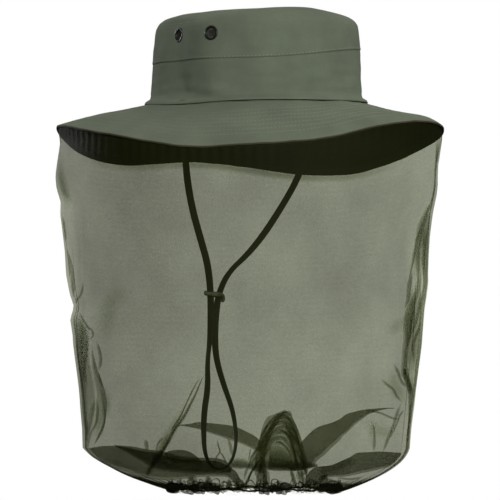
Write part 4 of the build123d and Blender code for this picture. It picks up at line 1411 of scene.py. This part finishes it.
# Casing section: mm outward of its middle, and share of its height
CASING_SECTION = [(3.2, 1.0), (4.6, 0.8), (4.3, 0.5), (4.4, 0.2), (2.2, 0.0), (0, -0.08), (-2.2, 0.0),
                  (-3.6, 0.25), (-3.5, 0.6), (-3.0, 0.9), (-1.2, 1.04), (1.2, 1.06)]
ELASTIC_HALF_HEIGHT = 0.9 * MM
ELASTIC_HALF_THICK = 0.8 * MM


def hem_ring(radius, angle, height):
    """Points at turn angles about the hem's centre."""
    return oval_ring(radius, radius, angle, height) + np.array([*HEM_CENTRE, 0.0])


def hem_curls(level):
    """Small bunched loops of net that stand up from the gathers."""
    parts = []
    t = np.linspace(0, 1, 11)
    for k in range(HEM_CURLS):
        start = 2 * math.pi * (k + 0.35 * math.sin(5.1 * k)) / HEM_CURLS
        wide = CURL_WIDE + CURL_WIDE_VARIES * math.sin(3.7 * k)
        tall = CURL_TALL + CURL_TALL_VARIES * math.sin(2.3 * k + 1.0)
        radius = HEM_RADIUS - 1.5 * MM + 1.5 * MM * math.sin(1.9 * k)
        angle = start + wide * np.cos(math.pi * t) / HEM_RADIUS + 0.012 * np.sin(2 * math.pi * t + k)
        height = level - 1.5 * MM + tall * np.sin(math.pi * t) ** 0.8
        line = hem_ring(radius + 1.2 * MM * np.sin(math.pi * t), angle, height)
        side = oval_ring(1.0, 1.0, angle, 0.0)
        up = np.cross(unit(np.gradient(line, axis=0)), side)
        thick = (0.5 + 0.12 * np.sin(9 * t + k))[:, None] * MM
        rings = [line + thick * (math.cos(c) * side + math.sin(c) * up) for c in turns(5)]
        parts.append(grid_mesh(np.array(rings).transpose(1, 0, 2), grid_uv(len(t), 6, 0.003, 0.012)))
    return parts


def casing_grid(angle, level_low, level_top):
    """The ruffled casing's points, with how far it is spread open in places round the hem."""
    wander = noise_at(oval_ring(1.0, 1.0, angle, 0.0) * 0.085, 40.0, 1.0) * 2.0
    phase = HEM_RUFFLES * angle + wander
    tatter = (0.9 * np.sin(phase * 0.5 + 2.0) + 0.9 * np.sin(phase * 1.5 + 1.0) + wander * 0.8) * MM
    turned = angle + np.sin(2 * phase + 1.0) * 1.3 * MM / HEM_RADIUS
    rows = []
    for out, up in smooth_path(CASING_SECTION, 34):
        fold = squared(np.sin(phase + up * 1.3), 0.7) * (0.7 + 1.2 * soft_step(out, -1.0, 3.0)) * MM
        ragged = soft_step(1 - up, 0.5, 1.0) + 0.8 * soft_step(up, 0.6, 1.0)
        height = level_low + (level_top - level_low) * up + ragged * tatter
        rows.append(hem_ring(CASING_RADIUS + out * MM + fold, turned, height))
    uneven = np.sin(7 * angle + 1.3) + 0.8 * np.sin(12 * angle + 0.4) + 0.5 * np.sin(23 * angle + 2.0)
    opened = 0.58 * soft_step(uneven, -0.7, 0.5)
    return np.concatenate([np.array(rows), np.tile(opened, (len(rows), 1))[..., None]], axis=-1)


def make_hem():
    """Gathered casing: a doubled, ruffled band of net round the elastic."""
    angle = turns(960)
    level_low, level_top = HEM_LOW.z + 0.6 * MM, HEM_HIGH.z - 2.4 * MM
    grid = casing_grid(angle, level_low, level_top)
    uv = grid_uv(len(grid) + 1, len(angle) + 1, 0.9, 0.04)
    hem = grid_piece("hem_casing_ruffle", grid, uv, HEM_NET, wrap_rows=True)
    curls = mesh_piece("hem_curl_loops", *joined(hem_curls(level_top)), HEM_NET)
    fit(curls, "hem")
    fit(hem, "hem", "hem_casing")


def make_elastic():
    """Ribbed elastic inside the casing, slightly wavy where the gathers press on it."""
    angle = turns(420)
    radius = CASING_RADIUS + 0.35 * MM * np.sin(HEM_RUFFLES * angle)
    level = (HEM_LOW.z + HEM_HIGH.z) / 2 - 1.4 * MM
    level = level + 0.7 * MM * np.sin(9 * angle + 1.0) + 0.4 * MM * np.sin(31 * angle)
    ring_tube("hem_elastic_band", hem_ring(radius, angle, level), np.tile(UP, (len(angle), 1)),
              ELASTIC_HALF_THICK, ELASTIC_HALF_HEIGHT, ELASTIC, "hem_elastic",
              sides=12, body="hem")


make_hem()
make_elastic()


# -------------------------------------------------------------------- eyelets

# Rolled eyelet section in mm: radius, and height above the cloth
EYELET_SECTION = [(4.6, -2.6), (4.6, -0.4), (4.72, 0.2), (5.1, 0.62), (5.7, 0.85), (6.3, 0.7), (6.8, 0.35),
                  (7.0, -0.05), (6.6, -0.22), (5.4, -0.25), (5.15, -0.6), (5.15, -2.6)]


def lathe(section, centre, axis, sides=64):
    """Closed ring turned about an axis, from (radius, height) points in mm."""
    axis = Vector(axis).normalized()
    first = axis.orthogonal().normalized()
    second = axis.cross(first)
    around = [np.array(first * math.cos(a) + second * math.sin(a)) for a in turns(sides)]
    rows = [[np.array(centre + axis * height * MM) + spoke * radius * MM for spoke in around]
            for radius, height in section]
    return np.array(rows)


def seated_copy(node, name, material):
    """The washer or screen of an eyelet, moved with the cloth."""
    faces = [tuple(p.vertices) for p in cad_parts[node].data.polygons]
    points = seated(node_points(node), name)
    piece = mesh_piece(node + "_set", points, faces, None, material, smooth=False)
    fit(piece, "hat", node)


def eyelet_seat(points):
    """Outward axis of an eyelet, and the middle of its flange, from the points of its solid."""
    middle = points.mean(axis=0)
    spread = np.linalg.svd(points - middle, full_matrices=False)[2]
    lengths = np.abs((points - middle) @ spread.T).max(axis=0)
    axis = Vector(spread[np.argmin(lengths)])
    if axis.dot(Vector((middle[0], middle[1], 0))) < 0:
        axis = -axis
    return axis, Vector(middle) + axis * (((points - middle) @ np.array(axis)).max() - 0.7 * MM)


def make_eyelets():
    for name in EYELETS:
        node = "eyelet_" + name
        axis, flange = eyelet_seat(node_points(node))
        grid = seated(lathe(EYELET_SECTION, flange, axis), name)
        uv = grid_uv(len(grid) + 1, grid.shape[1] + 1, 0.04, 0.02)
        ring = grid_piece(node + "_rolled", grid, uv, ENAMEL, wrap_rows=True)
        fit(ring, "hat", node)
        seated_copy("eyelet_washer_" + name, name, ENAMEL)
        seated_copy("eyelet_screen_" + name, name, WIRE)


make_eyelets()


# -------------------------------------------------------------------- anchors


def make_anchor(side):
    """Folded braid end sewn into the head seam."""
    node = "strap_anchor_" + side
    low, high = (np.array(c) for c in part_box(node))
    middle, half = (low + high) / 2, (high - low) / 2 * np.array([0.96, 0.97, 0.98])
    around = turns(36)
    rows = []
    for up in np.linspace(-1, 1, 22):
        soft = (1 - abs(up) ** 8) ** 0.25 * 0.25 + 0.75
        ridge = 1 + 0.10 * math.cos(up * 9.0)
        x = squared(np.cos(around), 0.5) * half[0] * soft * ridge * 0.92
        y = squared(np.sin(around), 0.35) * half[1] * (0.9 + 0.1 * soft)
        rows.append(middle + np.stack([x, y, np.full_like(x, up * half[2])], axis=1))
    uv = grid_uv(len(rows), len(around) + 1, 0.03, 2 * half[2])
    tube = capped(grid_mesh(np.array(rows), uv), len(around))
    fit(mesh_piece(node + "_braid", *tube, BRAID), "hat", node)


for anchor_side in ("left", "right"):
    make_anchor(anchor_side)

# ------------------------------------------------------------------- stitches

STITCH_PITCH = 3.6 * MM
STITCH_LENGTH = 2.3 * MM
STITCH_RADIUS = 0.27 * MM
STITCH_SIDES = 6
STITCH_BOW = 0.16 * MM
STITCH_SUNK = 0.02 * MM


def stitch_row(name, line, normals):
    """Evenly spaced lockstitches along a closed line, each a small bowed bead of thread."""
    closed = np.concatenate([line, line[:1]])
    all_normals = np.concatenate([normals, normals[:1]])
    steps = np.linalg.norm(np.diff(closed, axis=0), axis=1)
    along = np.concatenate([[0], np.cumsum(steps)])
    count = int(along[-1] / STITCH_PITCH)
    around = turns(STITCH_SIDES)[:, None]
    parts = []
    for k in range(count):
        rings = []
        for share in (-0.5, -0.3, 0.0, 0.3, 0.5):
            spot = ((k + 0.5) * along[-1] / count + share * STITCH_LENGTH) % along[-1]
            centre = np.array([np.interp(spot, along, closed[:, i]) for i in range(3)])
            up = np.array([np.interp(spot, along, all_normals[:, i]) for i in range(3)])
            i = min(int(np.searchsorted(along, spot, side="right")) - 1, len(steps) - 1)
            out = np.cross((closed[i + 1] - closed[i]) / steps[i], up)
            thick = STITCH_RADIUS * (0.35 if abs(share) == 0.5 else 1.0)
            bow = STITCH_BOW * (1 - 4 * share * share) - STITCH_SUNK
            rings.append(centre + up * bow + thick * (np.cos(around) * out + np.sin(around) * up))
        bead = grid_mesh(np.array(rings), grid_uv(5, STITCH_SIDES + 1, 0.002, STITCH_LENGTH))
        parts.append(capped(bead, STITCH_SIDES))
    fit(mesh_piece(name, *joined(parts), THREAD), "hat")


def surface_normals(line, other):
    """Unit normals of a surface that holds a closed line and the same line moved a little inward."""
    ahead = np.roll(line, -1, axis=0) - np.roll(line, 1, axis=0)
    normals = unit(np.cross(ahead, other - line))
    return normals * np.sign(normals[:, 2:3] + 1e-9)


def make_brim_stitches():
    angle = turns(BRIM_COLUMNS)
    for number, inset in enumerate(STITCH_ROWS, 1):
        line = brim_line(angle, inset)
        inner = brim_point(angle, inset + MM)
        stitch_row("brim_stitches_%d" % number, line, surface_normals(line, inner))


def make_band_stitches():
    """Top-stitching just above the seam between the crown bands."""
    angle = turns(CROWN_COLUMNS)
    line = rumple(crown_point(angle, band_seam_height(angle) + 1.5 * MM, -0.1 * MM))
    stitch_row("band_seam_stitches", line, outward_at(line))


make_brim_stitches()
make_band_stitches()

# ---------------------------------------------------------- floor and lighting

FLOOR_LEVEL = -0.75
FLOOR_RINGS = (0.02, 0.8, 1.6, 2.5)
FLOOR_GLOW = 0.97
WHITE = (1, 1, 1, 1)
# Grey of the sky's light, from low to straight up
SKY_STOPS = [(0.45, 0.03), (0.85, 0.26)]
CROWN_MIDDLE = np.array([0.0, 0.0, 0.02])
# Name, place, size in metres and power in watts
LAMPS = [("key", place(0.75, 2.65, 0.55), 1.2, 52), ("side", place(-2.0, -2.0, 0.5), 1.0, 26),
         ("top", place(1.2, -0.3, 1.6), 1.2, 8)]


def make_world():
    """White behind the object, and soft light that falls mostly from above."""
    world = bpy.data.worlds.new("studio")
    bpy.context.scene.world = world
    world.use_nodes = True
    tree = world.node_tree
    nodes, links = tree.nodes, tree.links
    backdrop = nodes["Background"]
    backdrop.inputs["Color"].default_value = WHITE
    backdrop.inputs["Strength"].default_value = 1.0
    sky = nodes.new("ShaderNodeBackground")
    ramp = nodes.new("ShaderNodeValToRGB")
    split = nodes.new("ShaderNodeSeparateXYZ")
    place_in = nodes.new("ShaderNodeTexCoord")
    lift = nodes.new("ShaderNodeMath")
    lift.operation = "MULTIPLY_ADD"
    lift.inputs[1].default_value = 0.5
    lift.inputs[2].default_value = 0.5
    links.new(place_in.outputs["Generated"], split.inputs[0])
    links.new(split.outputs[2], lift.inputs[0])
    links.new(lift.outputs[0], ramp.inputs["Fac"])
    for element, (position, grey) in zip(ramp.color_ramp.elements, SKY_STOPS):
        element.position = position
        element.color = (grey, grey, grey, 1)
    links.new(ramp.outputs["Color"], sky.inputs["Color"])
    rays = nodes.new("ShaderNodeLightPath")
    choose = nodes.new("ShaderNodeMixShader")
    links.new(rays.outputs["Is Camera Ray"], choose.inputs[0])
    links.new(sky.outputs[0], choose.inputs[1])
    links.new(backdrop.outputs[0], choose.inputs[2])
    links.new(choose.outputs[0], nodes["World Output"].inputs["Surface"])


def make_lamps():
    for name, position, size, power in LAMPS:
        data = bpy.data.lights.new(name, "AREA")
        data.shape = "DISK"
        data.size = size
        data.energy = power
        lamp = bpy.data.objects.new(name, data)
        bpy.context.scene.collection.objects.link(lamp)
        lamp.location = position
        lamp.rotation_mode = "QUATERNION"
        lamp.rotation_quaternion = Vector(CROWN_MIDDLE - position).to_track_quat("-Z", "Y")
        lamp.visible_camera = False


def make_floor():
    """Pale floor disc, well below the hem."""
    around = turns(96)
    grid = np.array([oval_ring(r, r, around, FLOOR_LEVEL) for r in FLOOR_RINGS])
    s = Shader("floor_paint")
    glow = s.node("ShaderNodeEmission", Color=WHITE, Strength=FLOOR_GLOW)
    s.link(glow.outputs[0], s.output.inputs["Surface"])
    points, faces, uvs = grid_mesh(grid, grid_uv(len(grid), 97, 6.0, 6.0))
    faces.append(tuple(range(96)))
    uvs += [(0, 0)] * 96
    floor = mesh_piece("floor", points, faces, uvs, s.material)
    floor.visible_diffuse = False
    floor.visible_glossy = False
    floor.visible_shadow = False


make_world()
make_lamps()
make_floor()

scene = bpy.context.scene
scene.view_settings.view_transform = "Standard"
scene.cycles.transparent_max_bounces = 32
